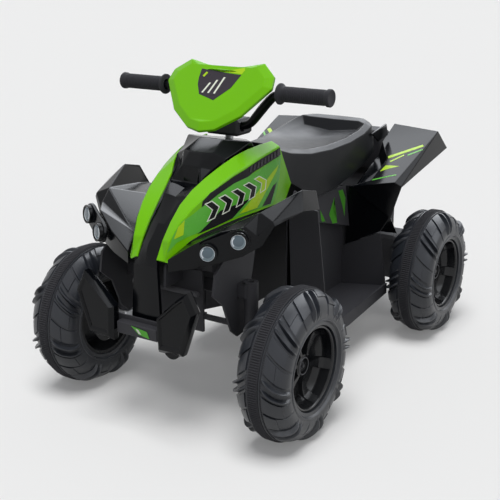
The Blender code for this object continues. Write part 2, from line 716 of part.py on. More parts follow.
def build_lamps():
    """Two lamp tubes on one rounded pod in front of the shelf, each with its lens."""
    inner, outer = LAMPS["inner"], LAMPS["outer"]
    across = (outer - inner).normalized()
    up = LAMP_FACING.cross(across).normalized()
    loops = []
    for depth in (-0.0100, -0.0030):
        ring = []
        for centre, first in ((outer, -90), (inner, 90)):
            for k in range(7):
                angle = math.radians(first + 30 * k)
                ring.append(centre + LAMP_FACING * depth + POD_R * (
                    across * math.cos(angle) + up * math.sin(angle)))
        loops.append(ring)
    housing = add_object("lamp_housing", loft(loops), BLACK_GLOSS)
    spin = LAMP_FACING.to_track_quat("Z", "Y")
    for key, spot in LAMPS.items():
        fuse(housing, tube_between(spot - LAMP_FACING * 0.008, spot + LAMP_FACING * 0.006,
                                   LAMP_R, 16), "tube_" + key)
    for key, spot in LAMPS.items():
        cut(housing, tube_between(spot - LAMP_FACING * 0.002, spot + LAMP_FACING * 0.010,
                                  LAMP_R - 0.0020, 16), "lamp_mouth_" + key)
    pair_of(housing, "lamp_housing")
    lens_r = LAMP_R - 0.0025
    for key, spot in LAMPS.items():
        loops = []
        for depth, share in ((-0.0016, 1.0), (0.0030, 1.0), (0.0052, 0.62)):
            loops.append([spot + LAMP_FACING * depth + spin @ Vector(
                (math.cos(a) * lens_r * share, math.sin(a) * lens_r * share, 0))
                for a in (math.tau * (k + 0.5) / 16 for k in range(16))])
        pair_of(add_object("lens", loft(loops), LENS_CLEAR), key + "_lamp_lens")


def build_struts():
    """Wheel-side cover of the front leg, hung from the fender down to the sleeve."""
    outline = [(-0.4400, 0.3480), (-0.4480, 0.3060), (-0.4130, 0.2770), (-0.3860, 0.2130),
               (-0.3640, 0.1950), (-0.3360, 0.1980), (-0.3200, 0.2700), (-0.2900, 0.3900),
               (-0.3500, 0.4020), (-0.4100, 0.3700)]
    cover = add_object("strut_cover", prism(outline, "x", 0.1395, 0.1445), BLACK_MATTE)
    cut(cover, box((0.13, -AXLE_Y - 0.0186, 0.2774), (0.16, -AXLE_Y + 0.0186, 0.3086)),
        "beam_window")
    return pair_of(cover, "strut_cover")


def build_frame_rails():
    """Upright side plates under the hood that carry nose, beam and tower."""
    outline = [(-0.4620, 0.3090), (-0.4580, 0.3500), (-0.4000, 0.4250), (-0.3000, 0.4720),
               (-0.2000, 0.5150), (-0.1200, 0.5000), (-0.1200, 0.4130), (-0.2000, 0.3500),
               (-0.3000, 0.3090)]
    plate = add_object("frame_rail", prism(outline, "x", 0.0330, 0.0390), BLACK_MATTE)
    return pair_of(plate, "frame_rail")


def build_bumper():
    """Hexagonal bumper pods on a cross bar that also carries the bare plate."""
    hexagon = [(0.1040, 0.3120), (0.1280, 0.3300), (0.1480, 0.2920), (0.1150, 0.1970),
               (0.0570, 0.1940), (0.0540, 0.2650)]
    middle = Vector((sum(x for x, _ in hexagon) / 6, sum(z for _, z in hexagon) / 6))
    back, front = -0.4920, BUMPER_FRONT_Y

    def ring(y, share):
        return [(middle.x + (x - middle.x) * share, y, middle.y + (z - middle.y) * share)
                for x, z in hexagon]
    loops = [ring(back, 0.94), ring(back - 0.006, 1.0), ring(front + 0.010, 1.0),
             ring(front, 0.86), ring(front, 0.78), ring(front + 0.004, 0.72)]
    pod = add_object("bumper_pod", loft(loops), BLACK_GLOSS, smooth_angle=12.0)
    fuse(pod, tube_between((0.088, back - 0.003, 0.206), (0.088, front + 0.009, 0.206),
                           0.020, 20), "pod_roller")
    pair_of(pod, "bumper_pod")
    bar = add_object("bumper_crossbar", box((-0.1120, -0.4912, 0.2150), (0.1120, -0.4868, 0.2450)),
                     BLACK_MATTE)
    fuse(bar, box((-0.0510, -0.5080, 0.2110), (0.0510, -0.4893, 0.2365), 0.002), "plate")
    return bar


# Middle and rear bodywork

def roofed_skin(stations, soft):
    """Rows of a skin that is open below, from (y, half width, low z, high z) stations."""
    rows = []
    for y, half, low, high in stations:
        rows.append([Vector((half, y, low)), Vector((half, y, high - soft)),
                     Vector((half - soft, y, high)), Vector((-half + soft, y, high)),
                     Vector((-half, y, high - soft)), Vector((-half, y, low))])
    points = {(i, j): p for i, row in enumerate(rows) for j, p in enumerate(row)}
    faces = []
    for i in range(len(rows) - 1):
        for j in range(5):
            faces.append([(i, j), (i, j + 1), (i + 1, j + 1), (i + 1, j)])
    return points, faces


def build_chassis():
    """Main tunnel, open below, flared to the front and widened to a motor bay behind."""
    stations = [(-0.1120, 0.1120, 0.130, 0.4080), (-0.0050, TUNNEL_X, 0.100, 0.3760),
                (0.2500, TUNNEL_X, 0.100, 0.3760), (0.2560, 0.1120, 0.120, 0.3760),
                (0.4700, 0.1120, 0.150, 0.3820)]
    points, faces = roofed_skin(stations, 0.010)
    tail = len(stations) - 1
    faces.append([(tail, j) for j in range(6)])
    chassis = shell("chassis_tunnel", points, faces, BLACK_MATTE, (0, 0, 3.0))
    cut(chassis, tube_between((-0.25, AXLE_Y, AXLE_Z), (0.25, AXLE_Y, AXLE_Z),
                              AXLE_R + 0.0006, 14), "axle_hole")
    cut(chassis, tube_between((-0.15, MOTOR_Y, MOTOR_Z), (0.15, MOTOR_Y, MOTOR_Z),
                              MOTOR_R + 0.0008, 20), "motor_holes")
    return chassis


def build_footwells():
    """Footboard with leg shield, inner wall, body side, rear wall and an outer lip."""
    x_in, x_out = FOOTWELL_X
    side = BODY_SIDE_X
    p = {
        "shield_top_in": (0.1270, -0.1270, 0.4120), "shield_top_out": (0.1990, -0.1320, 0.4150),
        "shield_mid_in": (0.1270, -0.1120, 0.2100), "shield_mid_out": (0.1990, -0.0900, 0.2110),
        "front_in": (0.1270, -0.1120, FLOOR_Z), "front_out": (x_out, -0.0800, FLOOR_Z),
        "floor_in": (x_in, 0.0000, FLOOR_Z), "floor_out": (x_out, 0.0300, FLOOR_Z + 0.001),
        "rear_in": (x_in, 0.2380, FLOOR_Z), "rear_out": (x_out, 0.2400, FLOOR_Z + 0.016),
        "rear_mid": (x_in, 0.2380, 0.2190), "wall_top_out": (0.1750, 0.2400, 0.2690),
        "ledge_in_front": (x_in, 0.0000, 0.3450), "ledge_in_rear": (x_in, 0.2380, 0.2760),
        "ledge_out_front": (side, 0.0100, 0.3430), "ledge_out_rear": (side, 0.2220, 0.2810),
        "top_fore": (side, -0.0550, 0.4300), "top_mid": (side, 0.0100, 0.3930),
        "top_rear": (side, 0.1950, 0.3930),
    }
    faces = [
        ("shield_top_in", "shield_top_out", "shield_mid_out", "shield_mid_in"),
        ("shield_mid_in", "shield_mid_out", "front_out", "front_in"),
        ("front_in", "front_out", "floor_out", "floor_in"),
        ("floor_in", "floor_out", "rear_out", "rear_in"),
        ("rear_in", "rear_out", "wall_top_out", "rear_mid"),
        ("floor_in", "rear_in", "rear_mid", "ledge_in_rear", "ledge_in_front"),
        ("front_in", "floor_in", "ledge_in_front", "shield_mid_in"),
        ("shield_mid_in", "ledge_in_front", "ledge_out_front"),
        ("shield_mid_in", "ledge_out_front", "shield_top_in"),
        ("shield_top_in", "ledge_out_front", "top_mid", "top_fore"),
        ("ledge_in_front", "ledge_in_rear", "ledge_out_rear", "ledge_out_front"),
        ("ledge_out_front", "ledge_out_rear", "top_rear", "top_mid"),
    ]
    points = {key: Vector(value) for key, value in p.items()}
    well = shell("footwell", points, faces, BLACK_MATTE, (0.6, 0.02, 0.4))
    lip = [(0.1940, -0.0780), (0.1990, -0.0780), (0.2010, 0.0300), (0.2010, 0.2380),
           (0.1950, 0.2380), (0.1950, 0.0300)]
    loops = []
    for level in (-0.020, 0.006):
        ring = []
        for x, y in lip:
            climb = 0.018 * max(y - 0.03, 0.0) / 0.21
            ring.append((x, y, FLOOR_Z + level + climb))
        loops.append(ring)
    fuse(well, loft(loops), "footwell_lip")
    return pair_of(well, "footwell")


def build_seat():
    """Moulded saddle: raised nose, dished pan, raised rear rim and deep skirts."""
    # y, half width of the top, half width of the skirt, skirt z, edge z, centre z
    sections = [
        (-0.1030, 0.062, 0.0920, 0.466, 0.538, 0.5400),
        (-0.0500, 0.074, 0.0980, 0.438, 0.520, 0.5230),
        (0.0200, 0.086, 0.1110, 0.398, 0.508, 0.5060),
        (0.1000, 0.098, 0.1190, 0.406, 0.506, 0.5010),
        (0.1800, 0.106, 0.1240, 0.424, 0.511, 0.4970),
        (0.2500, 0.108, 0.1250, 0.444, 0.521, 0.4980),
        (0.2900, 0.104, 0.1220, 0.456, 0.530, 0.5030),
        (0.3100, 0.098, 0.1170, 0.462, 0.534, 0.5310),
        (0.3350, 0.080, 0.1040, 0.468, 0.535, 0.5370),
        (0.3550, 0.058, 0.0860, 0.474, 0.520, 0.5240),
    ]
    wall = 0.006
    loops = []
    for y, top, skirt, low, edge, centre in sections:
        pan = edge * 0.35 + centre * 0.65
        half = [(skirt, low), (skirt - 0.004, low + (edge - low) * 0.55),
                (top + 0.010, edge - 0.008), (top - 0.006, edge), (top * 0.72, pan),
                (0.0, centre)]
        inside = [(0.0, centre - wall), (top * 0.72, pan - wall),
                  (top - 0.012, min(edge, centre + 0.010) - wall - 0.004),
                  (skirt - 0.012, low + (edge - low) * 0.5), (skirt - wall, low)]
        right_out = [(-a, b) for a, b in half[-2::-1]]
        right_in = [(-a, b) for a, b in inside[:0:-1]]
        loops.append([Vector((a, y, b)) for a, b in half + right_out + right_in + inside])
    return add_object("seat", loft(loops), SEAT_BLACK, smooth_angle=40.0)


def build_rear_fenders():
    """Rear fender: rising deck with a sunk well beside the saddle, outer band, front face."""
    p = {
        "tip": (0.1128, 0.1880, 0.3922), "deck_front": (0.2264, 0.1988, 0.4131),
        "deck_rear_out": (0.2390, 0.4310, 0.5040), "deck_rear_in": (0.1110, 0.4447, 0.5100),
        "fold": (0.1130, 0.3667, 0.4726), "bend": (0.1605, 0.2985, 0.4486),
        "step": (0.1585, 0.2128, 0.4098),
        "well_front": (0.1200, 0.2060, 0.3860), "well_out": (0.1480, 0.2260, 0.3890),
        "well_bend": (0.1500, 0.2900, 0.4220), "well_rear": (0.1130, 0.3500, 0.4440),
        "band_front": (0.2400, 0.2100, 0.4030), "band_rear": (0.2450, 0.4850, 0.4530),
        "rear_low": (0.1230, 0.4850, 0.4600),
        "inner_low": (0.1030, 0.2040, 0.3880), "face_low_in": (0.0800, 0.2400, 0.2260),
        "face_low_out": (0.1740, 0.2430, 0.2730), "notch": (0.2000, 0.2380, 0.3120),
        "side_low": (0.2000, 0.2880, 0.2600),
    }
    faces = [
        ("tip", "deck_front", "step"), ("step", "deck_front", "bend"),
        ("deck_front", "deck_rear_out", "bend"), ("bend", "deck_rear_out", "fold"),
        ("fold", "deck_rear_out", "deck_rear_in"),
        ("tip", "step", "well_out", "well_front"), ("step", "bend", "well_bend", "well_out"),
        ("bend", "fold", "well_rear", "well_bend"),
        ("well_front", "well_out", "well_bend", "well_rear"),
        ("deck_front", "band_front", "band_rear", "deck_rear_out"),
        ("deck_rear_in", "deck_rear_out", "band_rear", "rear_low"),
        ("tip", "inner_low", "face_low_in", "face_low_out", "notch", "deck_front"),
        ("deck_front", "notch", "band_front"), ("face_low_out", "side_low", "notch"),
    ]
    points = {key: Vector(value) for key, value in p.items()}
    fender = shell("rear_fender", points, faces, BLACK_GLOSS, (0.9, -0.6, 1.2))
    return pair_of(fender, "rear_fender")


def build_tail():
    """Tail cover between the rear fenders, behind the seat, open below."""
    stations = [(0.3720, 0.1050, 0.4000, 0.5000), (0.4200, 0.1050, 0.4000, 0.5030),
                (0.4900, 0.1030, 0.4000, 0.4700), (TAIL_REAR_Y, 0.0900, 0.3900, 0.4250)]
    points, faces = roofed_skin(stations, 0.012)
    for end in (0, len(stations) - 1):
        faces.append([(end, j) for j in range(6)])
    return shell("tail_cover", points, faces, BLACK_MATTE, (0, 0.4, 3.0))


# Drive, battery and controls

def build_drive():
    """Fixed rear axle, two gear motors that hold it, battery and control box."""
    add_object("rear_axle", tube_between((-WHEEL_X - 0.0130, AXLE_Y, AXLE_Z),
                                         (WHEEL_X + 0.0130, AXLE_Y, AXLE_Z), AXLE_R, 16), STEEL)
    drive = add_object("drive_unit", box((0.1180, 0.3050, 0.1300), (0.1900, 0.3950, 0.2450),
                                         0.008), GREY_MOULDING)
    fuse(drive, tube_between((0.1300, MOTOR_Y, MOTOR_Z), (0.0500, MOTOR_Y, MOTOR_Z), MOTOR_R, 16),
         "motor_can")
    cut(drive, tube_between((0.10, AXLE_Y, AXLE_Z), (0.20, AXLE_Y, AXLE_Z),
                            AXLE_R + 0.0006, 16), "drive_bore")
    pair_of(drive, "drive_unit")
    add_object("battery", box((-0.0750, 0.0400, 0.3800), (0.0750, 0.1050, 0.4740), 0.003),
               GREY_MOULDING)
    add_object("control_box", box((-0.0400, 0.1500, 0.3800), (0.0400, 0.2300, 0.4050), 0.003),
               GREY_MOULDING)
    add_object("charging_socket", tube_between((0.0, 0.4706, 0.3000), (0.0, 0.4750, 0.3000),
                                               0.0080, 16), GREY_MOULDING)


def build_controls():
    """Dash panel with power button, direction rocker and horn button, and the pedal."""
    lean = Matrix.Rotation(DASH_LEAN, 4, "X")
    place = Matrix.Translation(DASH_CENTRE) @ lean
    bm = box((-0.050, -0.0165, 0.0), (0.050, 0.0165, 0.0080), 0.0015)
    bm.transform(place)
    dash = add_object("dash_panel", bm, BLACK_GLOSS)
    for name, x in (("power", -0.030), ("horn", 0.030)):
        hole = tube_between((x, 0, 0.0028), (x, 0, 0.0200), 0.0085, 16)
        hole.transform(place)
        cut(dash, hole, name + "_pocket")
        button = tube_between((x, 0, 0.0050), (x, 0, 0.0110), 0.0080, 16)
        button.transform(place)
        add_object(name + "_button", button, LIME)
    pocket = box((-0.0110, -0.0080, 0.0028), (0.0110, 0.0080, 0.0200))
    pocket.transform(place)
    cut(dash, pocket, "rocker_pocket")
    rocker = prism([(-0.0070, 0.0052), (-0.0070, 0.0100), (0.0, 0.0088), (0.0070, 0.0120),
                    (0.0070, 0.0070), (0.0, 0.0046)], "x", -0.0100, 0.0100)
    rocker.transform(place)
    add_object("direction_rocker", rocker, GREY_MOULDING)
    pedal = box((-0.1720, -0.0550, 0.0), (-0.1120, PEDAL_HEEL.y, 0.0080), 0.002)
    slope = Matrix.Rotation(math.radians(-9.0), 4, "X")
    to_heel = Matrix.Translation(PEDAL_HEEL)
    flat_heel = Matrix.Translation((0.0, -PEDAL_HEEL.y, 0.0))
    pedal.transform(to_heel @ slope @ flat_heel)
    add_object("foot_pedal", pedal, GREY_MOULDING)


def main():
    build_wheels()
    build_axle_carrier()
    build_knuckles()
    build_tie_rod()
    build_steering_column()
    build_clamp()
    build_handlebar()
    build_grips()
    build_number_shield()
    build_side_panels()
    build_hood()
    build_tower()
    build_front_fenders()
    build_lamps()
    build_struts()
    build_frame_rails()
    build_bumper()
    build_chassis()
    build_footwells()
    build_seat()
    build_rear_fenders()
    build_tail()
    build_drive()
    build_controls()


main()
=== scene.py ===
"""Finishes and fine detail for the ride-on quad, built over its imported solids.

Metres, +Z up, the front faces -Y and the vehicle's left is +X, as in the solids.
"""

import logging
import math
from dataclasses import dataclass
from enum import Enum
from typing import Callable, Iterable, Sequence

import bmesh
import bpy
from mathutils import Matrix, Vector
from mathutils.bvhtree import BVHTree


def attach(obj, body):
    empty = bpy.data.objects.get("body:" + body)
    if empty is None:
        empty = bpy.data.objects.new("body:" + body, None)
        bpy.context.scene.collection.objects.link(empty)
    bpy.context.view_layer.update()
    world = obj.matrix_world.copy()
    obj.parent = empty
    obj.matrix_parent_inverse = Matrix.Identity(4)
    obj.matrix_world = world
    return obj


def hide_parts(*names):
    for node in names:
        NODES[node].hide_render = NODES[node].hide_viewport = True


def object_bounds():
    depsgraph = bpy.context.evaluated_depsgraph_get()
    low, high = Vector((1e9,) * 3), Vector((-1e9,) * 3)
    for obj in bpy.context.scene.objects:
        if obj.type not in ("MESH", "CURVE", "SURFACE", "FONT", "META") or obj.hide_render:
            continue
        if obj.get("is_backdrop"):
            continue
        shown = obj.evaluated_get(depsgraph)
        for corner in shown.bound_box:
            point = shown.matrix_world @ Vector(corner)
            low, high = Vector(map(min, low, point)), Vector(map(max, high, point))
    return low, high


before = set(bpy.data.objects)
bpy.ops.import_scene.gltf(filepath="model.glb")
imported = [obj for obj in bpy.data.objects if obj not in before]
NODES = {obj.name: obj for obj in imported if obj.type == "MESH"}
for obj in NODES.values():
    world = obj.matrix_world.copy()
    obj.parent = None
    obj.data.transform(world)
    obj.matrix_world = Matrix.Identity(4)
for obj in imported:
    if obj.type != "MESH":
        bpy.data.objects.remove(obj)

Rgb = tuple[float, float, float]
Point2 = tuple[float, float]
Point3 = tuple[float, float, float]
Bmesh = bmesh.types.BMesh
Face = bmesh.types.BMFace
Piece = bpy.types.Object
Tree = bpy.types.NodeTree

# Corners nearer than this are one, in a copy of a solid and in a mesh made here
WELD, TOUCH = 2e-6, 1e-6
# Faces that bend less than this are one
FLAT = math.radians(0.6)

log = logging.getLogger("quad")


class Side(Enum):
    """The vehicle's two hands, as the sign of X."""

    LEFT = 1
    RIGHT = -1

    @property
    def word(self) -> str:
        """The hand's name as the solids use it."""
        return self.name.lower()


class View(Enum):
    """The way that a flat outline is laid on a surface, as the axis it travels on."""

    SIDE = 0
    FRONT = 1
    TOP = 2

    def place(self, a: float, b: float, depth: float = 0.0) -> Vector:
        """A point of the outline's plane in space.

        Args:
            a: its first coordinate in the plane, in the order of X, Y, Z.
            b: its second coordinate in the plane.
            depth: its coordinate on the axis of travel.

        Returns:
            The point.
        """
        spot = [a, b]
        spot.insert(self.value, depth)
        return Vector(spot)

    @property
    def eye_way(self) -> Vector:
        """The way from the surface to where the outline starts."""
        return (Vector((1, 0, 0)), Vector((0, -1, 0)), Vector((0, 0, 1)))[self.value]


# Node groups that the finishes share

def new_group(name: str, inputs: Sequence[tuple[str, str, object]],
              outputs: Sequence[tuple[str, str]]) -> Tree:
    """Starts a shader node group with its sockets.

    Args:
        name: the group's name.
        inputs: label, socket type and default value of each input.
        outputs: label and socket type of each output.

    Returns:
        The group, holding its input and output nodes.
    """
    group = bpy.data.node_groups.new(name, "ShaderNodeTree")
    for label, kind, value in inputs:
        socket = group.interface.new_socket(name=label, in_out="INPUT", socket_type=kind)
        socket.default_value = value
    for label, kind in outputs:
        group.interface.new_socket(name=label, in_out="OUTPUT", socket_type=kind)
    group.nodes.new("NodeGroupInput")
    group.nodes.new("NodeGroupOutput")
    return group


def wire(tree: Tree, *links: tuple[object, object]) -> None:
    """Links pairs of sockets.

    Args:
        tree: the tree that holds them.
        links: an output socket and the input socket it feeds, for each link.
    """
    for source, target in links:
        tree.links.new(source, target)


def noise_node(tree: Tree, detail: float) -> bpy.types.Node:
    """A noise texture that reads object coordinates.

    Args:
        tree: the tree it goes in.
        detail: octaves of the noise.

    Returns:
        The noise node, its Scale left open.
    """
    place = tree.nodes.new("ShaderNodeTexCoord")
    noise = tree.nodes.new("ShaderNodeTexNoise")
    noise.inputs["Detail"].default_value = detail
    wire(tree, (place.outputs["Object"], noise.inputs["Vector"]))
    return noise


def pigment_group() -> Tree:
    """Slow drift between two shades of one pigment.

    Returns:
        The group, whose Colour output varies over the surface.
    """
    group = new_group("pigment_drift", [
        ("Colour", "NodeSocketColor", (0.5, 0.5, 0.5, 1.0)),
        ("Shade", "NodeSocketColor", (0.4, 0.4, 0.4, 1.0)),
        ("Scale", "NodeSocketFloat", 9.0)], [("Colour", "NodeSocketColor")])
    enter, leave = group.nodes["Group Input"], group.nodes["Group Output"]
    noise = noise_node(group, detail=3.0)
    mix = group.nodes.new("ShaderNodeMix")
    mix.data_type = "RGBA"
    wire(group, (enter.outputs["Scale"], noise.inputs["Scale"]),
         (noise.outputs["Fac"], mix.inputs["Factor"]),
         (enter.outputs["Colour"], mix.inputs[6]), (enter.outputs["Shade"], mix.inputs[7]),
         (mix.outputs[2], leave.inputs["Colour"]))
    return group


def gloss_group() -> Tree:
    """Roughness that wanders a little round a middle value, with faint rub marks.

    Returns:
        The group, whose Roughness output varies over the surface.
    """
    group = new_group("gloss_drift", [
        ("Low", "NodeSocketFloat", 0.25), ("High", "NodeSocketFloat", 0.35),
        ("Scale", "NodeSocketFloat", 22.0)], [("Roughness", "NodeSocketFloat")])
    enter, leave = group.nodes["Group Input"], group.nodes["Group Output"]
    noise = noise_node(group, detail=5.0)
    spread = group.nodes.new("ShaderNodeMapRange")
    usual_low, usual_high = 0.32, 0.68
    spread.inputs["From Min"].default_value = usual_low
    spread.inputs["From Max"].default_value = usual_high
    wire(group, (enter.outputs["Scale"], noise.inputs["Scale"]),
         (noise.outputs["Fac"], spread.inputs["Value"]),
         (enter.outputs["Low"], spread.inputs["To Min"]),
         (enter.outputs["High"], spread.inputs["To Max"]),
         (spread.outputs["Result"], leave.inputs["Roughness"]))
    return group


def grain_group() -> Tree:
    """Fine mould texture over a soft, long wave, as a height.

    Returns:
        The group, whose Height output feeds a Bump node.
    """
    group = new_group("mould_grain", [
        ("Scale", "NodeSocketFloat", 900.0), ("Wave", "NodeSocketFloat", 0.25)],
        [("Height", "NodeSocketFloat")])
    enter, leave = group.nodes["Group Input"], group.nodes["Group Output"]
    fine, slow = noise_node(group, detail=2.0), noise_node(group, detail=1.0)
    wave_scale = 26.0
    slow.inputs["Scale"].default_value = wave_scale
    mix = group.nodes.new("ShaderNodeMix")
    wire(group, (enter.outputs["Scale"], fine.inputs["Scale"]),
         (enter.outputs["Wave"], mix.inputs["Factor"]),
         (fine.outputs["Fac"], mix.inputs["A"]), (slow.outputs["Fac"], mix.inputs["B"]),
         (mix.outputs["Result"], leave.inputs["Height"]))
    return group


def dust_group() -> Tree:
    """A thin film of pale dust that gathers towards the ground.

    Returns:
        The group, whose Colour output is the paint below the film.
    """
    group = new_group("ground_dust", [
        ("Colour", "NodeSocketColor", (0.1, 0.1, 0.1, 1.0)),
        ("Amount", "NodeSocketFloat", 0.1)], [("Colour", "NodeSocketColor")])
    enter, leave = group.nodes["Group Input"], group.nodes["Group Output"]
    clean_height, patch_scale, pale = 0.22, 34.0, (0.30, 0.30, 0.29, 1.0)
    place = group.nodes.new("ShaderNodeTexCoord")
    split = group.nodes.new("ShaderNodeSeparateXYZ")
    low = group.nodes.new("ShaderNodeMapRange")
    low.inputs["From Min"].default_value = clean_height
    low.inputs["From Max"].default_value = 0.0
    noise = noise_node(group, detail=6.0)
    noise.inputs["Scale"].default_value = patch_scale
    part, film = (group.nodes.new("ShaderNodeMath") for _ in range(2))
    part.operation = film.operation = "MULTIPLY"
    mix = group.nodes.new("ShaderNodeMix")
    mix.data_type = "RGBA"
    mix.inputs[7].default_value = pale
    wire(group, (place.outputs["Object"], split.inputs["Vector"]),
         (split.outputs["Z"], low.inputs["Value"]),
         (low.outputs["Result"], part.inputs[0]), (noise.outputs["Fac"], part.inputs[1]),
         (part.outputs["Value"], film.inputs[0]), (enter.outputs["Amount"], film.inputs[1]),
         (film.outputs["Value"], mix.inputs["Factor"]), (enter.outputs["Colour"], mix.inputs[6]),
         (mix.outputs[2], leave.inputs["Colour"]))
    return group


class Effects:
    """The shared node groups, each built the first time that a finish asks for it."""

    makers: dict[str, Callable[[], Tree]] = {
        "pigment": pigment_group, "gloss": gloss_group, "grain": grain_group,
        "dust": dust_group}
    built: dict[str, Tree] = {}

    @classmethod
    def place(cls, tree: Tree, effect: str, **values: object) -> bpy.types.Node:
        """Puts one effect in a material.

        Args:
            tree: the material's node tree.
            effect: the effect's key.
            values: input values, by the socket's name in lower case.

        Returns:
            The group node.
        """
        if effect not in cls.built:
            cls.built[effect] = cls.makers[effect]()
        node = tree.nodes.new("ShaderNodeGroup")
        node.node_tree = cls.built[effect]
        for key, value in values.items():
            node.inputs[key.capitalize()].default_value = value
        return node


@dataclass(frozen=True)
class Finish:
    """One surface finish: pigment, gloss, mould grain and dust.

    The swing is how far its roughness wanders to either side, the shade is its darkest
    pigment's share of the colour, the grain is the mould texture's scale and the relief
    its height.
    """

    name: str
    slot: str
    colour: Rgb
    roughness: float
    swing: float = 0.05
    shade: float = 0.86
    grain: float = 900.0
    relief: float = 5e-5
    metallic: float = 0.0
    coat: float = 0.0
    coat_roughness: float = 0.08
    dust: float = 0.10
    specular: float = 0.5
    bump: float = 0.35

    def material(self) -> bpy.types.Material:
        """The finish as a material, made the first time that it is used.

        Returns:
            The material.
        """
        known = bpy.data.materials.get(self.name)
        if known:
            return known
        mat = bpy.data.materials.new(self.name)
        mat.use_nodes = True
        tree = mat.node_tree
        shader = tree.nodes["Principled BSDF"]
        shader.inputs["Metallic"].default_value = self.metallic
        shader.inputs["Coat Weight"].default_value = self.coat
        shader.inputs["Coat Roughness"].default_value = self.coat_roughness
        shader.inputs["Specular IOR Level"].default_value = self.specular
        darker = tuple(c * self.shade for c in self.colour)
        pigment = Effects.place(tree, "pigment", colour=(*self.colour, 1.0),
                                shade=(*darker, 1.0))
        dust = Effects.place(tree, "dust", amount=self.dust)
        gloss = Effects.place(tree, "gloss", low=max(self.roughness - self.swing, 0.02),
                              high=self.roughness + self.swing)
        grain = Effects.place(tree, "grain", scale=self.grain)
        bump = tree.nodes.new("ShaderNodeBump")
        bump.inputs["Strength"].default_value = self.bump
        bump.inputs["Distance"].default_value = self.relief
        wire(tree, (pigment.outputs["Colour"], dust.inputs["Colour"]),
             (dust.outputs["Colour"], shader.inputs["Base Color"]),
             (gloss.outputs["Roughness"], shader.inputs["Roughness"]),
             (grain.outputs["Height"], bump.inputs["Height"]),
             (bump.outputs["Normal"], shader.inputs["Normal"]))
        return mat


class Paint(Enum):
    """Every finish on the quad, by what it is on."""

    LIME = Finish("lime_gloss", "lime_plastic", (0.165, 0.510, 0.001), 0.22, swing=0.04,
                  shade=0.93, relief=3e-5, dust=0.0, specular=0.22)
    BODY_BLACK = Finish("body_black", "gloss_black", (0.0022, 0.0027, 0.0038), 0.16,
                        swing=0.03, relief=3e-5, dust=0.02, specular=0.19)
    MATTE_BLACK = Finish("matte_black", "matte_black", (0.0024, 0.0028, 0.0037), 0.42,
                         relief=6e-5, dust=0.02, specular=0.06)
    SADDLE = Finish("saddle_black", "seat_black", (0.0055, 0.0062, 0.0080), 0.34, grain=700.0,
                    relief=8e-5, specular=0.15)
    GRIP = Finish("grip_black", "grip_black", (0.0090, 0.0090, 0.0100), 0.50, relief=6e-5,
                  specular=0.30)
    TYRE = Finish("tyre_black", "tyre_plastic", (0.0180, 0.0205, 0.0265), 0.34, swing=0.06,
                  grain=520.0, relief=8e-5, dust=0.10, specular=0.50)
    BAND = Finish("band_rubber", "band_rubber", (0.0150, 0.0155, 0.0170), 0.72, grain=480.0,
                  relief=1e-4, dust=0.15, specular=0.25)
    RIM = Finish("rim_black", "gloss_black", (0.0045, 0.0052, 0.0070), 0.22, swing=0.05,
                 specular=0.35)
    GREY = Finish("grey_moulding", "grey_moulding", (0.085, 0.087, 0.095), 0.45)
    TUBE = Finish("tube_paint", "painted_tube", (0.0040, 0.0044, 0.0054), 0.28, specular=0.10)
    STEEL = Finish("zinc_steel", "zinc_steel", (0.56, 0.57, 0.60), 0.34, swing=0.08,
                   shade=0.8, metallic=1.0, dust=0.2)
    LENS = Finish("clear_lens", "clear_lens", (0.24, 0.32, 0.37), 0.08, shade=0.6,
                  coat=0.4, dust=0.0)
    # Darker blue-grey painted on each lens as the shade at its top
    LENS_PAINTED_SHADE = Finish("lens_painted_shade", "clear_lens", (0.100, 0.155, 0.195), 0.10, shade=0.6,
                        coat=0.4, dust=0.0)
    # Pale grey of the lamps' rings, also used for the glint on each lens, a painted highlight
    LAMP_RING = Finish("lamp_ring", "clear_lens", (0.80, 0.86, 0.90), 0.22, dust=0.0)
    GREEN_FILM = Finish("green_film", "lime_plastic", (0.105, 0.46, 0.040), 0.28, shade=0.85,
                        dust=0.0, specular=0.30)
    YELLOW_FILM = Finish("yellow_film", "lime_plastic", (0.42, 0.66, 0.008), 0.28,
                         shade=0.9, dust=0.0, specular=0.30)
    BLACK_FILM = Finish("black_film", "gloss_black", (0.0050, 0.0050, 0.0058), 0.26, dust=0.0,
                        specular=0.20)
    PALE_FILM = Finish("pale_film", "lime_plastic", (0.80, 0.84, 0.72), 0.32, dust=0.0,
                       specular=0.25)
    GREY_FILM = Finish("grey_film", "gloss_black", (0.030, 0.024, 0.034), 0.30, dust=0.0,
                       specular=0.30)


# Mesh helpers

@dataclass(frozen=True)
class Shell:
    """How the wall of a thin moulded solid is told from its broad faces.

    The reach is the most that the wall measures straight through, narrow the most that
    the shortest side of a rim's face measures, and the spread how far out from its middle
    a face is probed.
    """

    reach: float = 0.0055
    narrow: float = 1.0
    spread: float = 0.8


def welded(node: str) -> Bmesh:
    """A solid's mesh with its loose triangles joined.

    Args:
        node: the solid's name.

    Returns:
        A new bmesh.
    """
    bm = bmesh.new()
    bm.from_mesh(NODES[node].data)
    bmesh.ops.remove_doubles(bm, verts=bm.verts, dist=WELD)
    return bm


def merged(node: str) -> Bmesh:
    """A solid's mesh as one connected skin of flat faces.

    Args:
        node: the solid's name.

    Returns:
        A new bmesh.
    """
    bm = welded(node)
    bmesh.ops.dissolve_limit(bm, angle_limit=FLAT, verts=bm.verts, edges=bm.edges)
    bm.normal_update()
    return bm


def pair_triangles(bm: Bmesh, bend: float, skew: float) -> None:
    """Joins triangles in pairs, which the roundings follow better.

    Args:
        bm: the mesh.
        bend: the most degrees between the faces of a pair.
        skew: the most degrees that a joined face's corners are off square.
    """
    bmesh.ops.join_triangles(bm, faces=bm.faces, angle_face_threshold=math.radians(bend),
                             angle_shape_threshold=math.radians(skew))


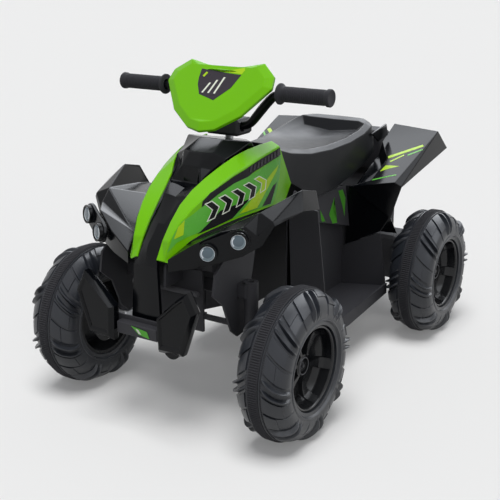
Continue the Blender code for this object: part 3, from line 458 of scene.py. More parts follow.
def outer_skin(node: str, eye: Sequence[float], shell: Shell) -> Bmesh:
    """The outside of a thin moulded piece, without its rim and its inside.

    Args:
        node: the solid's name.
        eye: a point that sees most of the outside.
        shell: how its wall is told.

    Returns:
        An open bmesh whose normals point out.
    """
    bm = welded(node)
    bm.normal_update()
    tree = BVHTree.FromBMesh(bm)
    rims = [face for face in bm.faces if is_rim(face, tree, shell)]
    bmesh.ops.delete(bm, geom=rims, context="FACES")
    spot = Vector(eye)

    def seen(island: list[Face]) -> float:
        """How much of an island faces the eye."""
        return sum(f.calc_area() * f.normal.dot((spot - f.calc_center_median()).normalized())
                   for f in island)
    keep = set(max(face_islands(bm), key=seen))
    bmesh.ops.delete(bm, geom=[f for f in bm.faces if f not in keep], context="FACES")
    bmesh.ops.dissolve_limit(bm, angle_limit=FLAT, verts=bm.verts, edges=bm.edges)
    pair_triangles(bm, bend=14.0, skew=80.0)
    bm.normal_update()
    return bm


def is_rim(face: Face, tree: BVHTree, shell: Shell) -> bool:
    """Tells the edge of a thin wall from its broad faces.

    Args:
        face: the face.
        tree: the solid's search tree.
        shell: how the solid's wall is told.

    Returns:
        Whether the face spans the wall: none of it has a parallel face close behind it.
    """
    if min(edge.calc_length() for edge in face.edges) > shell.narrow:
        return False
    start_below, facing_away = 2e-5, -0.95
    middle = face.calc_center_median()
    corners = [vert.co for vert in face.verts]
    edges = [(a + b) / 2 for a, b in zip(corners, corners[1:] + corners[:1])]
    for spot in [middle, *(middle.lerp(goal, shell.spread) for goal in corners + edges)]:
        start = spot - face.normal * start_below
        place, normal, _, depth = tree.ray_cast(start, -face.normal)
        if (place is not None and depth < shell.reach
                and normal.dot(face.normal) < facing_away):
            return False
    return True


def face_islands(bm: Bmesh) -> list[list[Face]]:
    """The connected sets of faces of a mesh.

    Args:
        bm: the mesh.

    Returns:
        One list of faces for each set.
    """
    left, islands = set(bm.faces), []
    while left:
        queue, island = [left.pop()], []
        while queue:
            face = queue.pop()
            island.append(face)
            for edge in face.edges:
                for other in edge.link_faces:
                    if other in left:
                        left.discard(other)
                        queue.append(other)
        islands.append(island)
    return islands


def mirrored(bm: Bmesh) -> Bmesh:
    """The same mesh for the vehicle's other side.

    Args:
        bm: the left-hand mesh, left as it is.

    Returns:
        A new bmesh.
    """
    twin = bm.copy()
    bmesh.ops.scale(twin, vec=(-1.0, 1.0, 1.0), verts=twin.verts)
    bmesh.ops.reverse_faces(twin, faces=twin.faces)
    return twin


def handed(bm: Bmesh, side: Side) -> Bmesh:
    """A left-hand mesh, or its mirror for the right.

    Args:
        bm: the left-hand mesh.
        side: the hand wanted.

    Returns:
        A bmesh of its own.
    """
    return bm.copy() if side is Side.LEFT else mirrored(bm)


def block(low: Sequence[float], high: Sequence[float]) -> Bmesh:
    """A box between two corners.

    Args:
        low: the lowest corner.
        high: the highest corner.

    Returns:
        A new bmesh.
    """
    bm = bmesh.new()
    low, high = Vector(low), Vector(high)
    size = Matrix.Diagonal((*(high - low), 1.0))
    bmesh.ops.create_cube(bm, size=1.0, matrix=Matrix.Translation((low + high) / 2) @ size)
    return bm


def rod(start: Sequence[float], end: Sequence[float], radius: float, sides: int = 24,
        soft: float = 0.0) -> Bmesh:
    """A round bar from one point to another.

    Args:
        start: the centre of one end.
        end: the centre of the other.
        radius: its radius.
        sides: sides of its section.
        soft: how far its end edges are rounded.

    Returns:
        A new bmesh.
    """
    start, end = Vector(start), Vector(end)
    turn = (end - start).to_track_quat("Z", "Y").to_matrix().to_4x4()
    bm = bmesh.new()
    bmesh.ops.create_cone(bm, cap_ends=True, segments=sides, radius1=radius, radius2=radius,
                          depth=(end - start).length,
                          matrix=Matrix.Translation((start + end) / 2) @ turn)
    if soft:
        rims = [e for e in bm.edges if any(len(f.verts) > 4 for f in e.link_faces)]
        bmesh.ops.bevel(bm, geom=rims, offset=soft, segments=2, profile=0.5,
                        affect="EDGES", material=-1)
    return bm


def turned(profile: Sequence[Point2], steps: int, sweep: float = math.tau) -> Bmesh:
    """A closed section turned round the X axis.

    Args:
        profile: (x, radius) points.
        steps: how many sections go round.
        sweep: how far it is turned, once round unless less is asked.

    Returns:
        A new bmesh with its normals pointing out, open at both ends of a shorter sweep.
    """
    bm = bmesh.new()
    verts = [bm.verts.new((x, r, 0.0)) for x, r in profile]
    edges = [bm.edges.new(pair) for pair in zip(verts, verts[1:] + verts[:1])]
    bmesh.ops.spin(bm, geom=verts + edges, cent=(0, 0, 0), axis=(1, 0, 0), dvec=(0, 0, 0),
                   angle=sweep, steps=steps, use_merge=sweep == math.tau,
                   use_duplicate=False)
    bmesh.ops.remove_doubles(bm, verts=bm.verts, dist=TOUCH)
    bmesh.ops.recalc_face_normals(bm, faces=bm.faces)
    return bm


def profile_key(x: float, radius: float) -> Point2:
    """A profile's point as a key that single precision doesn't change."""
    return round(x, 5), round(radius, 5)


def station(spot: Vector, steps: int) -> int:
    """The number of the section that a corner of a turned mesh stands on.

    Args:
        spot: the corner.
        steps: how many sections go round.

    Returns:
        The number, counted from +Y towards +Z.
    """
    return round((math.atan2(spot.z, spot.y) % math.tau) / math.tau * steps) % steps


def round_x(x: float, radius: float, angle: float) -> Vector:
    """A point by its place along the X axis, its radius and its angle from +Y."""
    return Vector((x, radius * math.cos(angle), radius * math.sin(angle)))


def plate(outline: Sequence[Point2], view: View, low: float, high: float,
          soft: float) -> Bmesh:
    """A flat plate with an outline, square to one axis.

    Args:
        outline: its corners in the view's plane.
        view: the way that it is seen face on.
        low: where it starts on the view's axis.
        high: where it ends there.
        soft: how far its edges are rounded.

    Returns:
        A new bmesh.
    """
    bm = bmesh.new()
    face = bm.faces.new([bm.verts.new(view.place(a, b, low)) for a, b in outline])
    risen = bmesh.ops.extrude_face_region(bm, geom=[face])["geom"]
    bmesh.ops.translate(bm, verts=[v for v in risen if isinstance(v, bmesh.types.BMVert)],
                        vec=view.place(0.0, 0.0, high - low))
    bmesh.ops.bevel(bm, geom=bm.edges, offset=soft, segments=2, profile=0.5,
                    affect="EDGES", clamp_overlap=True, material=-1)
    bmesh.ops.recalc_face_normals(bm, faces=bm.faces)
    return bm


def joined(parts: Iterable[Bmesh]) -> Bmesh:
    """Several meshes as one.

    Args:
        parts: the meshes, used up.

    Returns:
        A new bmesh.
    """
    whole = bmesh.new()
    for part in parts:
        spare = bpy.data.meshes.new("part")
        part.to_mesh(spare)
        part.free()
        whole.from_mesh(spare)
        bpy.data.meshes.remove(spare)
    return whole


def add_piece(name: str, bm: Bmesh, paint: Paint, body: str,
              stands_for: Sequence[str] = (), angle: float = 35.0) -> Piece:
    """Makes a mesh a piece of the quad.

    Args:
        name: the piece's name.
        bm: its mesh, used up.
        paint: its finish.
        body: the moving body that it rides on.
        stands_for: the solids that it is shown instead of.
        angle: edges sharper than this many degrees stay crisp.

    Returns:
        The new object.
    """
    mesh = bpy.data.meshes.new(name)
    bm.to_mesh(mesh)
    bm.free()
    mesh.shade_smooth()
    mesh.set_sharp_from_angle(angle=math.radians(angle))
    mesh.materials.append(paint.value.material())
    piece = bpy.data.objects.new(name, mesh)
    bpy.context.scene.collection.objects.link(piece)
    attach(piece, body)
    if stands_for:
        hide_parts(*stands_for)
    log.info("%s: %s faces, on %s", name, len(mesh.polygons), body)
    return piece


def show_part(node: str, suffix: str, bm: Bmesh, paint: Paint, body: str,
              angle: float) -> None:
    """Adds a piece, in place of the solid of that name where there is one.

    Args:
        node: the piece's name, and the solid's if there is one.
        suffix: what is added to the name where the piece stands for the solid.
        bm: its mesh, used up.
        paint: its finish.
        body: the moving body that it rides on.
        angle: edges sharper than this many degrees stay crisp.
    """
    if node in NODES:
        add_piece(node + suffix, bm, paint, body, [node], angle)
    else:
        add_piece(node, bm, paint, body, (), angle)


def add_pair(part: str, pattern: Bmesh, paint: Paint, body: str, angle: float = 35.0,
             suffix: str = "") -> None:
    """Adds a left-hand mesh and its mirror.

    Args:
        part: the pieces' name, without the hand.
        pattern: the left-hand mesh, used up.
        paint: their finish.
        body: the moving body that they ride on.
        angle: edges sharper than this many degrees stay crisp.
        suffix: what is added to the names where the pieces stand for solids.
    """
    for side in Side:
        show_part(f"{side.word}_{part}", suffix, handed(pattern, side), paint, body, angle)
    pattern.free()


def round_edges(piece: Piece, width: float, segments: int, angle: float) -> None:
    """Adds a live rounding to a piece's edges.

    Args:
        piece: the object.
        width: how wide the rounding is.
        segments: its steps.
        angle: only edges sharper than this many degrees are rounded.
    """
    tool = piece.modifiers.new("rounding", "BEVEL")
    tool.width = width
    tool.segments = segments
    tool.limit_method = "ANGLE"
    tool.angle_limit = math.radians(angle)
    tool.profile = 0.5


def thicken(piece: Piece, wall: float) -> None:
    """Gives an open skin its wall, inwards.

    Args:
        piece: the object.
        wall: the wall's thickness.
    """
    tool = piece.modifiers.new("wall", "SOLIDIFY")
    tool.thickness = wall
    tool.offset = -1.0
    tool.use_quality_normals = True


def level_shading(piece: Piece) -> None:
    """Keeps broad faces flat and lets the roundings carry the light.

    Args:
        piece: the object.
    """
    tool = piece.modifiers.new("shading", "WEIGHTED_NORMAL")
    tool.weight = 60
    tool.keep_sharp = False


def subdivide(piece: Piece, levels: int) -> None:
    """Adds a live subdivision, the same in view and render.

    Args:
        piece: the object.
        levels: how many times it is divided.
    """
    tool = piece.modifiers.new("smooth", "SUBSURF")
    tool.levels = tool.render_levels = levels


def dress_skin(node: str, paint: Paint, body: str, eye: Sequence[float], wall: float,
               soft: float, angle: float = 18.0, shell: Shell = Shell()) -> None:
    """Shows a thin moulded solid with soft folds, a wall and a rounded rim.

    Args:
        node: the solid it stands for.
        paint: its finish.
        body: the body that it rides on.
        eye: a point that sees most of its outside.
        wall: the wall's thickness.
        soft: width of the rounding on its folds.
        angle: folds sharper than this many degrees are rounded.
        shell: how the solid's wall is told.
    """
    rim_soft, rim_angle = 0.0007, 50.0
    piece = add_piece(node + "_skin", outer_skin(node, eye, shell), paint, body, [node],
                      angle=180.0)
    round_edges(piece, soft, segments=4, angle=angle)
    thicken(piece, wall)
    round_edges(piece, rim_soft, segments=2, angle=rim_angle)
    level_shading(piece)


def dress_solid(node: str, paint: Paint, body: str, soft: float,
                angle: float = 25.0) -> None:
    """Shows a solid with its edges rounded.

    Args:
        node: the solid it stands for.
        paint: its finish.
        body: the body that it rides on.
        soft: width of the rounding.
        angle: edges sharper than this many degrees are rounded.
    """
    piece = add_piece(node + "_moulding", merged(node), paint, body, [node], angle=180.0)
    round_edges(piece, soft, segments=2, angle=angle)
    level_shading(piece)


def coat_node(node: str, paint: Paint) -> None:
    """Gives a solid that is shown as it is its finish.

    Args:
        node: the solid.
        paint: its finish.
    """
    NODES[node].data.materials.clear()
    NODES[node].data.materials.append(paint.value.material())
    log.info("%s: shown as packed, in %s", node, paint.value.name)


def laid(outline: Sequence[Point2], piece: Piece, view: View, lift: float,
         height: float = 0.0) -> Bmesh:
    """A thin sheet cut to an outline and laid on a finished piece.

    Args:
        outline: the sheet's corners in the view's plane.
        piece: the piece that it lies on, as its modifiers leave it.
        view: the way that it travels.
        lift: its distance from the surface.
        height: its own thickness, nothing for a film.

    Returns:
        A new bmesh.
    """
    cell, outside = 0.007, 2.0
    bm = bmesh.new()
    bm.faces.new([bm.verts.new(view.place(a, b)) for a, b in outline])
    bmesh.ops.triangulate(bm, faces=bm.faces)
    for step, axis in enumerate(axis for axis in range(3) if axis != view.value):
        values = [corner[step] for corner in outline]
        low, size = min(values), max(values) - min(values)
        cuts = math.ceil(size / cell)
        way = Vector((axis == 0, axis == 1, axis == 2))
        for i in range(1, cuts):
            bmesh.ops.bisect_plane(bm, geom=bm.verts[:] + bm.edges[:] + bm.faces[:],
                                   dist=TOUCH, plane_co=way * (low + size * i / cuts),
                                   plane_no=way)
    tree = BVHTree.FromObject(piece, bpy.context.evaluated_depsgraph_get())
    for vert in bm.verts:
        start = vert.co + view.eye_way * outside
        place, normal, _, _ = tree.ray_cast(start, -view.eye_way)
        if place is None:
            place, normal, _, _ = tree.find_nearest(vert.co)
        vert.co = place + normal * lift
    bmesh.ops.recalc_face_normals(bm, faces=bm.faces)
    if sum(face.normal.dot(view.eye_way) for face in bm.faces) < 0:
        bmesh.ops.reverse_faces(bm, faces=bm.faces)
    if height:
        bm.normal_update()
        bmesh.ops.solidify(bm, geom=bm.faces, thickness=-height)
    return bm


def lay_both(name: str, outlines: Iterable[Sequence[Point2]], piece: Piece, view: View,
             paint: Paint, body: str, lift: float = 0.0003, height: float = 0.0) -> None:
    """Lays sheets on a left-hand piece and their mirror on its twin.

    Args:
        name: the sheets' name, without the hand.
        outlines: the corners of each sheet in the view's plane.
        piece: the left-hand piece.
        view: the way that they travel.
        paint: their finish.
        body: the body that they ride on.
        lift: their distance from the surface.
        height: their own thickness.
    """
    pattern = joined(laid(outline, piece, view, lift, height) for outline in outlines)
    add_pair(name, pattern, paint, body, 30.0)


# Sub-assemblies

@dataclass(frozen=True)
class Turn:
    """A line across the tread: its degrees round the pitch, and what stands on it."""

    degrees: float
    groove: float = 0.0
    fin: float = 0.0
    broad: float = 0.0
    short: float = 0.0


@dataclass
class Wheels:
    """Four wheels: tyre with paddle fins, ribbed traction band and deep-dish rim."""

    axle_y: float = 0.3457
    axle_z: float = 0.158
    wheel_x: float = 0.266
    left_phase: float = math.radians(-15.0)
    pitches: int = 8
    fin_height: float = 0.0085
    pad_height: float = 0.0022
    pads_start: float = 0.0186
    broad_end: float = 0.0500
    short_end: float = 0.0380
    groove_depth: float = 0.0030
    groove_share: float = 0.5
    sweep: float = math.radians(14.0)
    sweep_run: float = 0.045
    greatest_radius: float = 0.1568
    greatest_x: float = 0.0596
    half_band: float = 0.0115
    ribs: int = 200
    spokes: int = 6
    # Half of the tyre's section from the band to the bead: x, radius, and the share of a
    # fin's height that stands there
    section: tuple[tuple[float, float, float], ...] = (
        (0.0120, 0.1532, 0.0), (0.0124, 0.1545, 0.0), (0.0142, 0.1545, 0.0),
        (0.0148, 0.1530, 0.0), (0.0166, 0.1519, 0.05), (0.0180, 0.1516, 0.18),
        (0.0186, 0.1514, 0.24), (0.0225, 0.1504, 0.50), (0.0265, 0.1490, 0.74),
        (0.0305, 0.1472, 0.88), (0.0345, 0.1450, 0.97), (0.0380, 0.1427, 1.0),
        (0.0388, 0.1421, 1.0), (0.0425, 0.1391, 1.0), (0.0465, 0.1352, 1.0),
        (0.0500, 0.1308, 0.95), (0.0506, 0.1299, 0.93), (0.0532, 0.1249, 0.80),
        (0.0550, 0.1195, 0.60), (0.0558, 0.1145, 0.35), (0.0559, 0.1100, 0.10),
        (0.0556, 0.1070, 0.0), (0.0550, 0.1020, 0.0), (0.0562, 0.1008, 0.0),
        (0.0562, 0.0982, 0.0), (0.0546, 0.0970, 0.0), (0.0515, 0.0950, 0.0),
        (0.0505, 0.0905, 0.0), (0.0502, 0.0882, 0.0))

    @staticmethod
    def tread() -> list[Turn]:
        """One pitch of the tread: two fins between grooves, a broad pad and a short one.

        Returns:
            Its lines, in order round the wheel.
        """
        def run(feature: str, *degrees: float) -> list[Turn]:
            """Lines on which the whole of one feature stands."""
            return [Turn(spot, **{feature: 1.0}) for spot in degrees]

        def fin(start: float) -> list[Turn]:
            """The lines of one fin."""
            return [Turn(start + step, fin=share) for step, share in (
                (0.0, 0.05), (0.35, 0.75), (0.7, 1.0), (1.3, 1.0), (1.9, 1.0), (2.25, 0.75),
                (2.6, 0.05))]
        return [
            *run("groove", 0.0, 1.7), *fin(2.2),
            *run("groove", 5.4, 6.4, 7.6, 8.6, 9.1), *fin(9.6),
            *run("groove", 12.8, 13.7, 14.7),
            *run("broad", 15.2, 15.6, 17.5, 20.0, 22.5, 25.0, 27.1),
            Turn(27.5, groove=1.2), Turn(28.4, groove=1.4), Turn(29.3, groove=1.2),
            *run("short", 29.7, 31.0, 33.5, 36.0, 38.5, 41.0, 42.6),
            Turn(43.1, short=0.5), Turn(43.6, groove=0.5)]

    def rise(self, turn: Turn, x: float, fin: float) -> float:
        """How far the tread stands out of the plain tyre.

        Args:
            turn: the line across the tread.
            x: the section's point there, from the tyre's middle.
            fin: the share of a fin's height at that point.

        Returns:
            The height, below zero in a groove.
        """
        pads = (turn.broad * (self.pads_start <= x <= self.broad_end)
                + turn.short * (self.pads_start <= x <= self.short_end))
        return (turn.fin * fin * self.fin_height + pads * self.pad_height
                - turn.groove * min(fin, self.groove_share) * self.groove_depth)

    def tyre(self) -> Bmesh:
        """The left tyre, round its own middle.

        Returns:
            A closed bmesh.
        """
        rows = [(-x, r, fin) for x, r, fin in self.section[::-1]] + [*self.section]
        ways = self.outward(rows)
        lookup = {profile_key(x, r): i for i, (x, r, _) in enumerate(rows)}
        tread = self.tread()
        steps = self.pitches * len(tread)
        bm = turned([(x, r) for x, r, _ in rows], steps)
        for vert in bm.verts:
            index = lookup[profile_key(vert.co.x, math.hypot(*vert.co.yz))]
            x, radius, fin = rows[index]
            pitch, line = divmod(station(vert.co, steps), len(tread))
            out = ways[index] * self.rise(tread[line], abs(x), fin)
            along = max(abs(x) - self.half_band, 0.0) / self.sweep_run
            angle = (pitch * math.tau / self.pitches + math.radians(tread[line].degrees)
                     + self.sweep * along)
            vert.co = round_x(max(-self.greatest_x, min(self.greatest_x, x + out.x)),
                              min(radius + out.y, self.greatest_radius), angle)
        bmesh.ops.recalc_face_normals(bm, faces=bm.faces)
        return bm

    @staticmethod
    def outward(rows: Sequence[Sequence[float]]) -> list[Vector]:
        """The way out of the tyre's section at each of its points.

        Args:
            rows: the section, from bead to bead.

        Returns:
            A unit (x, radius) vector for each row.
        """
        reach = 2
        ways = []
        for i in range(len(rows)):
            before, after = rows[max(i - reach, 0)], rows[min(i + reach, len(rows) - 1)]
            way = Vector((-(after[1] - before[1]), after[0] - before[0]))
            ways.append(way.normalized())
        return ways

    def band(self) -> Bmesh:
        """The left traction band: close cross ribs between two low shoulders.

        Returns:
            A closed bmesh.
        """
        half, top, root, inner = self.half_band, 0.1579, 0.1560, 0.1542
        foot, shoulder = half - 0.0014, half - 0.0020
        profile = [(-half, inner), (-half, root), (-foot, root), (-shoulder, top),
                   (shoulder, top), (foot, root), (half, root), (half, inner)]
        # Two sections in four stand on a rib, and the next two between ribs
        steps = self.ribs * 4
        bm = turned(profile, steps)
        for vert in bm.verts:
            x, y, z = vert.co
            radius = math.hypot(y, z)
            if radius > (top + root) / 2 and station(vert.co, steps) % 4 > 1:
                vert.co = Vector((x, y / radius * root, z / radius * root))
        return bm

    def beads(self) -> Bmesh:
        """Small moulded beads along both edges of the band, one to each rib.

        Returns:
            A bmesh of one low block for each bead.
        """
        bead = block((0.0150, -0.0015, 0.1506), (0.0165, 0.0015, 0.1536))
        parts = []
        for i in range(self.ribs):
            for side in Side:
                one = handed(bead, side)
                one.transform(Matrix.Rotation(math.tau * i / self.ribs, 4, "X"))
                parts.append(one)
        bead.free()
        return joined(parts)

    def rim(self) -> Bmesh:
        """The left rim: rolled lip, pocketed drum, six spokes and a back flange.

        Returns:
            A closed bmesh.
        """
        lip = ((0.0455, 0.0874), (0.0466, 0.0862), (0.0470, 0.0842), (0.0462, 0.0822),
               (0.0440, 0.0808))
        # Each point of the dish on a spoke, and the same point in a pocket
        dish = (((0.0425, 0.0804), (0.0420, 0.0803)), ((0.0418, 0.0802), (0.0412, 0.0822)),
                ((0.0300, 0.0762), (0.0230, 0.0792)), ((0.0245, 0.0742), (0.0222, 0.0762)),
                ((0.0205, 0.0705), (0.0150, 0.0718)), ((0.0190, 0.0640), (0.0092, 0.0690)),
                ((0.0182, 0.0560), (0.0082, 0.0600)), ((0.0182, 0.0440), (0.0080, 0.0440)),
                ((0.0195, 0.0340), (0.0082, 0.0330)), ((0.0212, 0.0270), (0.0100, 0.0270)),
                ((0.0215, 0.0236), (0.0200, 0.0236)))
        back = ((0.0140, 0.0230), (-0.0010, 0.0225), (0.0000, 0.0700), (-0.0470, 0.0806),
                (-0.0480, 0.0874))
        rows = [(spot, spot) for spot in lip] + [*dish] + [(spot, spot) for spot in back]
        # Degrees from a spoke's middle to a pocket, and how deep the dish is there
        edge = ((4.0, 0.0), (7.2, 0.0), (8.4, 0.10), (9.4, 0.9), (10.2, 1.0))
        span = 360.0 / self.spokes
        shape = [(0.0, 0.0), *edge, *((float(spot), 1.0) for spot in range(15, 50, 5)),
                 *((span - spot, share) for spot, share in edge[::-1])]
        steps = self.spokes * len(shape)
        bm = turned([spot for spot, _ in rows], steps)
        lookup = {profile_key(*spot): i for i, (spot, _) in enumerate(rows)}
        for vert in bm.verts:
            plain, deep = rows[lookup[profile_key(vert.co.x, math.hypot(*vert.co.yz))]]
            spoke, index = divmod(station(vert.co, steps), len(shape))
            degrees, pocket = shape[index]
            x, radius = Vector(plain).lerp(Vector(deep), pocket)
            vert.co = round_x(x, radius, math.radians(spoke * span + degrees))
        return bm

    def cap(self) -> Bmesh:
        """The left hub cap: a rolled ring round a shallow dark dish.

        Returns:
            A closed bmesh.
        """
        profile = [(0.0190, 0.0001), (0.0178, 0.0080), (0.0176, 0.0138), (0.0200, 0.0150),
                   (0.0232, 0.0158), (0.0238, 0.0170), (0.0232, 0.0184), (0.0214, 0.0200),
                   (0.0205, 0.0226), (0.0150, 0.0226), (0.0150, 0.0001)]
        return turned(profile, steps=48)

    def cap_ring(self) -> Bmesh:
        """A grey ring on the left hub cap's rolled edge, painted as the highlight that it
        catches.

        Returns:
            A closed bmesh.
        """
        profile = [(0.0228, 0.0163), (0.0242, 0.0166), (0.0243, 0.0176), (0.0230, 0.0186)]
        return turned(profile, steps=48)

    def hub_pin(self) -> Bmesh:
        """The axle nut seen inside the left cap's dish, with its washer.

        Returns:
            A bmesh of two stacked discs.
        """
        return joined([
            rod((0.0178, 0, 0), (0.0196, 0, 0), radius=0.0072, sides=24, soft=0.0004),
            rod((0.0194, 0, 0), (0.0226, 0, 0), radius=0.0048, sides=6, soft=0.0004)])

    def build(self) -> None:
        """Builds all four wheels from the left-hand meshes."""
        patterns = (("tyre", self.tyre(), Paint.TYRE, 40.0),
                    ("traction_band", self.band(), Paint.BAND, 30.0),
                    ("band_beads", self.beads(), Paint.BAND, 30.0),
                    ("rim", self.rim(), Paint.RIM, 32.0),
                    ("hub_cap", self.cap(), Paint.RIM, 35.0),
                    # The cap's bright rolled edge is a grey ring, a painted highlight
                    ("cap_ring", self.cap_ring(), Paint.GREY, 30.0),
                    ("axle_nut", self.hub_pin(), Paint.MATTE_BLACK, 30.0))
        for end, y in (("front", -self.axle_y), ("rear", self.axle_y)):
            for side in Side:
                stem = f"{end}_{side.word}"
                phase = self.left_phase if side is Side.LEFT else 0.0
                place = (Matrix.Translation((side.value * self.wheel_x, y, self.axle_z))
                         @ Matrix.Rotation(phase, 4, "X"))
                for part, pattern, paint, angle in patterns:
                    bm = handed(pattern, side)
                    bm.transform(place)
                    show_part(f"{stem}_{part}", "_show", bm, paint, f"{stem}_wheel", angle)
        for _, pattern, _, _ in patterns:
            pattern.free()


@dataclass
class FrontBody:
    """Lime side panels, black hood, tower, folded fenders, struts, rails and bumper."""

    crest_soft: float = 0.0065
    fold_soft: float = 0.0022
    inner_rail: tuple[Point3, ...] = (
        (0.0235, -0.470, 0.366), (0.0245, -0.440, 0.414), (0.0285, -0.385, 0.4695),
        (0.0405, -0.332, 0.5024), (0.0530, -0.304, 0.5200))
    # The liner's upper and lower edge: how far each lies from the rail in X and below it
    liner_edges: tuple[Point2, ...] = ((0.0030, 0.0020), (-0.0140, 0.0190))
    shroud: tuple[Point3, Point3] = ((-0.086, -0.402, 0.205), (0.086, -0.396, 0.335))
    bar_end: Point3 = (0.082, -0.412, 0.288)
    bar_radius: float = 0.0055

    def build(self) -> None:
        """Dresses the front bodywork."""
        for side in Side:
            s, word = side.value, side.word
            dress_skin(f"{word}_side_panel", Paint.LIME, "chassis", (0.6 * s, -0.5, 0.9),
                       wall=0.0024, soft=self.crest_soft,
                       shell=Shell(reach=0.0034, narrow=0.0030))
            dress_skin(f"{word}_front_fender", Paint.BODY_BLACK, "chassis",
                       (0.6 * s, -1.0, 0.9), wall=0.0029, soft=self.fold_soft, angle=14.0)
            for part, paint, soft in (("strut_cover", Paint.MATTE_BLACK, 0.0012),
                                      ("frame_rail", Paint.MATTE_BLACK, 0.0012),
                                      ("bumper_pod", Paint.BODY_BLACK, 0.0022),
                                      ("lamp_housing", Paint.BODY_BLACK, 0.0010)):
                dress_solid(f"{word}_{part}", paint, "chassis", soft)
        dress_solid("hood_nose", Paint.BODY_BLACK, "chassis", soft=0.0022, angle=18.0)
        dress_skin("steering_tower", Paint.BODY_BLACK, "chassis", (0, -1.5, 1.5),
                   wall=0.0029, soft=0.0028, angle=14.0,
                   shell=Shell(reach=0.0034, narrow=0.0070, spread=0.0))
        add_pair("hood_liner", self.liner(), Paint.MATTE_BLACK, "chassis")
        dress_solid("bumper_crossbar", Paint.MATTE_BLACK, "chassis", soft=0.0010)
        dress_solid("front_axle_carrier", Paint.MATTE_BLACK, "chassis", soft=0.0012)
        self.behind_bumper()
        self.bumper_films()

    def liner(self) -> Bmesh:
        """The dark strip below the left panel's inner edge, which closes it to the hood.

        Returns:
            An open bmesh.
        """
        bm = bmesh.new()
        stations = [Vector(spot) for spot in self.inner_rail]
        rows = []
        for i, spot in enumerate(stations):
            run = stations[min(i + 1, len(stations) - 1)] - stations[max(i - 1, 0)]
            inward = Vector((0.0, run.z, -run.y)).normalized()
            rows.append([bm.verts.new(spot + Vector((aside, 0, 0)) + inward * below)
                         for aside, below in self.liner_edges])
        for first, second in zip(rows, rows[1:]):
            bm.faces.new((first[0], first[1], second[1], second[0]))
        bmesh.ops.recalc_face_normals(bm, faces=bm.faces)
        return bm

    def behind_bumper(self) -> None:
        """Adds the dark shroud and the grey bar that show behind the bumper."""
        add_piece("nose_shroud", block(*self.shroud), Paint.MATTE_BLACK, "chassis")
        x, y, z = self.bar_end
        add_piece("nose_bar", rod((-x, y, z), (x, y, z), self.bar_radius), Paint.GREY,
                  "chassis")

    def bumper_films(self) -> None:
        """Lays a coloured corner and a pale slash on the bumper's plate."""
        cross = bpy.data.objects["bumper_crossbar_moulding"]
        corner = ((-0.0130, 0.2340), (0.0270, 0.2290), (0.0330, 0.2150), (0.0060, 0.2190))
        slash = ((-0.0020, 0.2300), (0.0060, 0.2290), (0.0130, 0.2200), (0.0060, 0.2210))
        for name, outline, paint, lift in (
                ("bumper_corner", corner, Paint.GREEN_FILM, 0.0013),
                ("bumper_slash", slash, Paint.PALE_FILM, 0.0015)):
            add_piece(name, laid(outline, cross, View.FRONT, lift), paint, "chassis")


@dataclass(frozen=True)
class LampPart:
    """One turned part of a lamp, its profile as (distance out of the lamp, radius)."""

    name: str
    paint: Paint
    profile: tuple[Point2, ...]
    steps: int = 40
    sweep: float = math.tau
    spin: float = 0.0
    shift: Point3 = (0.0, 0.0, 0.0)


@dataclass
class Lamps:
    """Four round lamps in black bezels, each with a domed lens, a ring, painted shade and a
    painted glint.
    """

    spots: tuple[tuple[str, Point3], ...] = (("inner", (0.136, -0.453, 0.394)),
                                             ("outer", (0.187, -0.424, 0.418)))
    facing: Point3 = (0.42, -0.90, 0.08)
    parts: tuple[LampPart, ...] = (
        LampPart("lamp_lens", Paint.LENS, (
            (-0.0014, 0.0001), (-0.0014, 0.0167), (0.0026, 0.0167), (0.0036, 0.0146),
            (0.0044, 0.0110), (0.0049, 0.0060), (0.0050, 0.0001))),
        # Painted shade: a darker disc set high in the lens stands for the dark top of its bowl
        LampPart("lamp_painted_shade", Paint.LENS_PAINTED_SHADE, (
            (0.0046, 0.0001), (0.0040, 0.0108), (0.0049, 0.0104), (0.0054, 0.0062),
            (0.0056, 0.0001)), shift=(0.0, 0.0004, 0.0022)),
        LampPart("lamp_ring", Paint.LAMP_RING, (
            (0.0030, 0.0136), (0.0030, 0.0146), (0.0042, 0.0145), (0.0046, 0.0137))),
        LampPart("lamp_bezel", Paint.BODY_BLACK, (
            (-0.0040, 0.0171), (-0.0040, 0.0194), (0.0046, 0.0194), (0.0058, 0.0189),
            (0.0060, 0.0176), (0.0054, 0.0158), (0.0046, 0.0147), (0.0030, 0.0145),
            (0.0030, 0.0168))),
        # Painted highlight: a pale crescent low on the lens stands for the light that it catches
        LampPart("lamp_painted_glint", Paint.LAMP_RING, (
            (0.0040, 0.0100), (0.0036, 0.0128), (0.0047, 0.0126), (0.0051, 0.0102)),
            steps=14, sweep=math.radians(105.0), spin=math.radians(118.0)))

    def build(self) -> None:
        """Builds the lamps from the left-hand ones."""
        turn = Vector((1, 0, 0)).rotation_difference(Vector(self.facing)).to_matrix().to_4x4()
        for key, spot in self.spots:
            for part in self.parts:
                pattern = turned(part.profile, part.steps, part.sweep)
                pattern.transform(Matrix.Translation(spot) @ turn
                                  @ Matrix.Rotation(part.spin, 4, "X")
                                  @ Matrix.Translation(part.shift))
                add_pair(f"{key}_{part.name}", pattern, part.paint, "chassis", 40.0, "_domed")


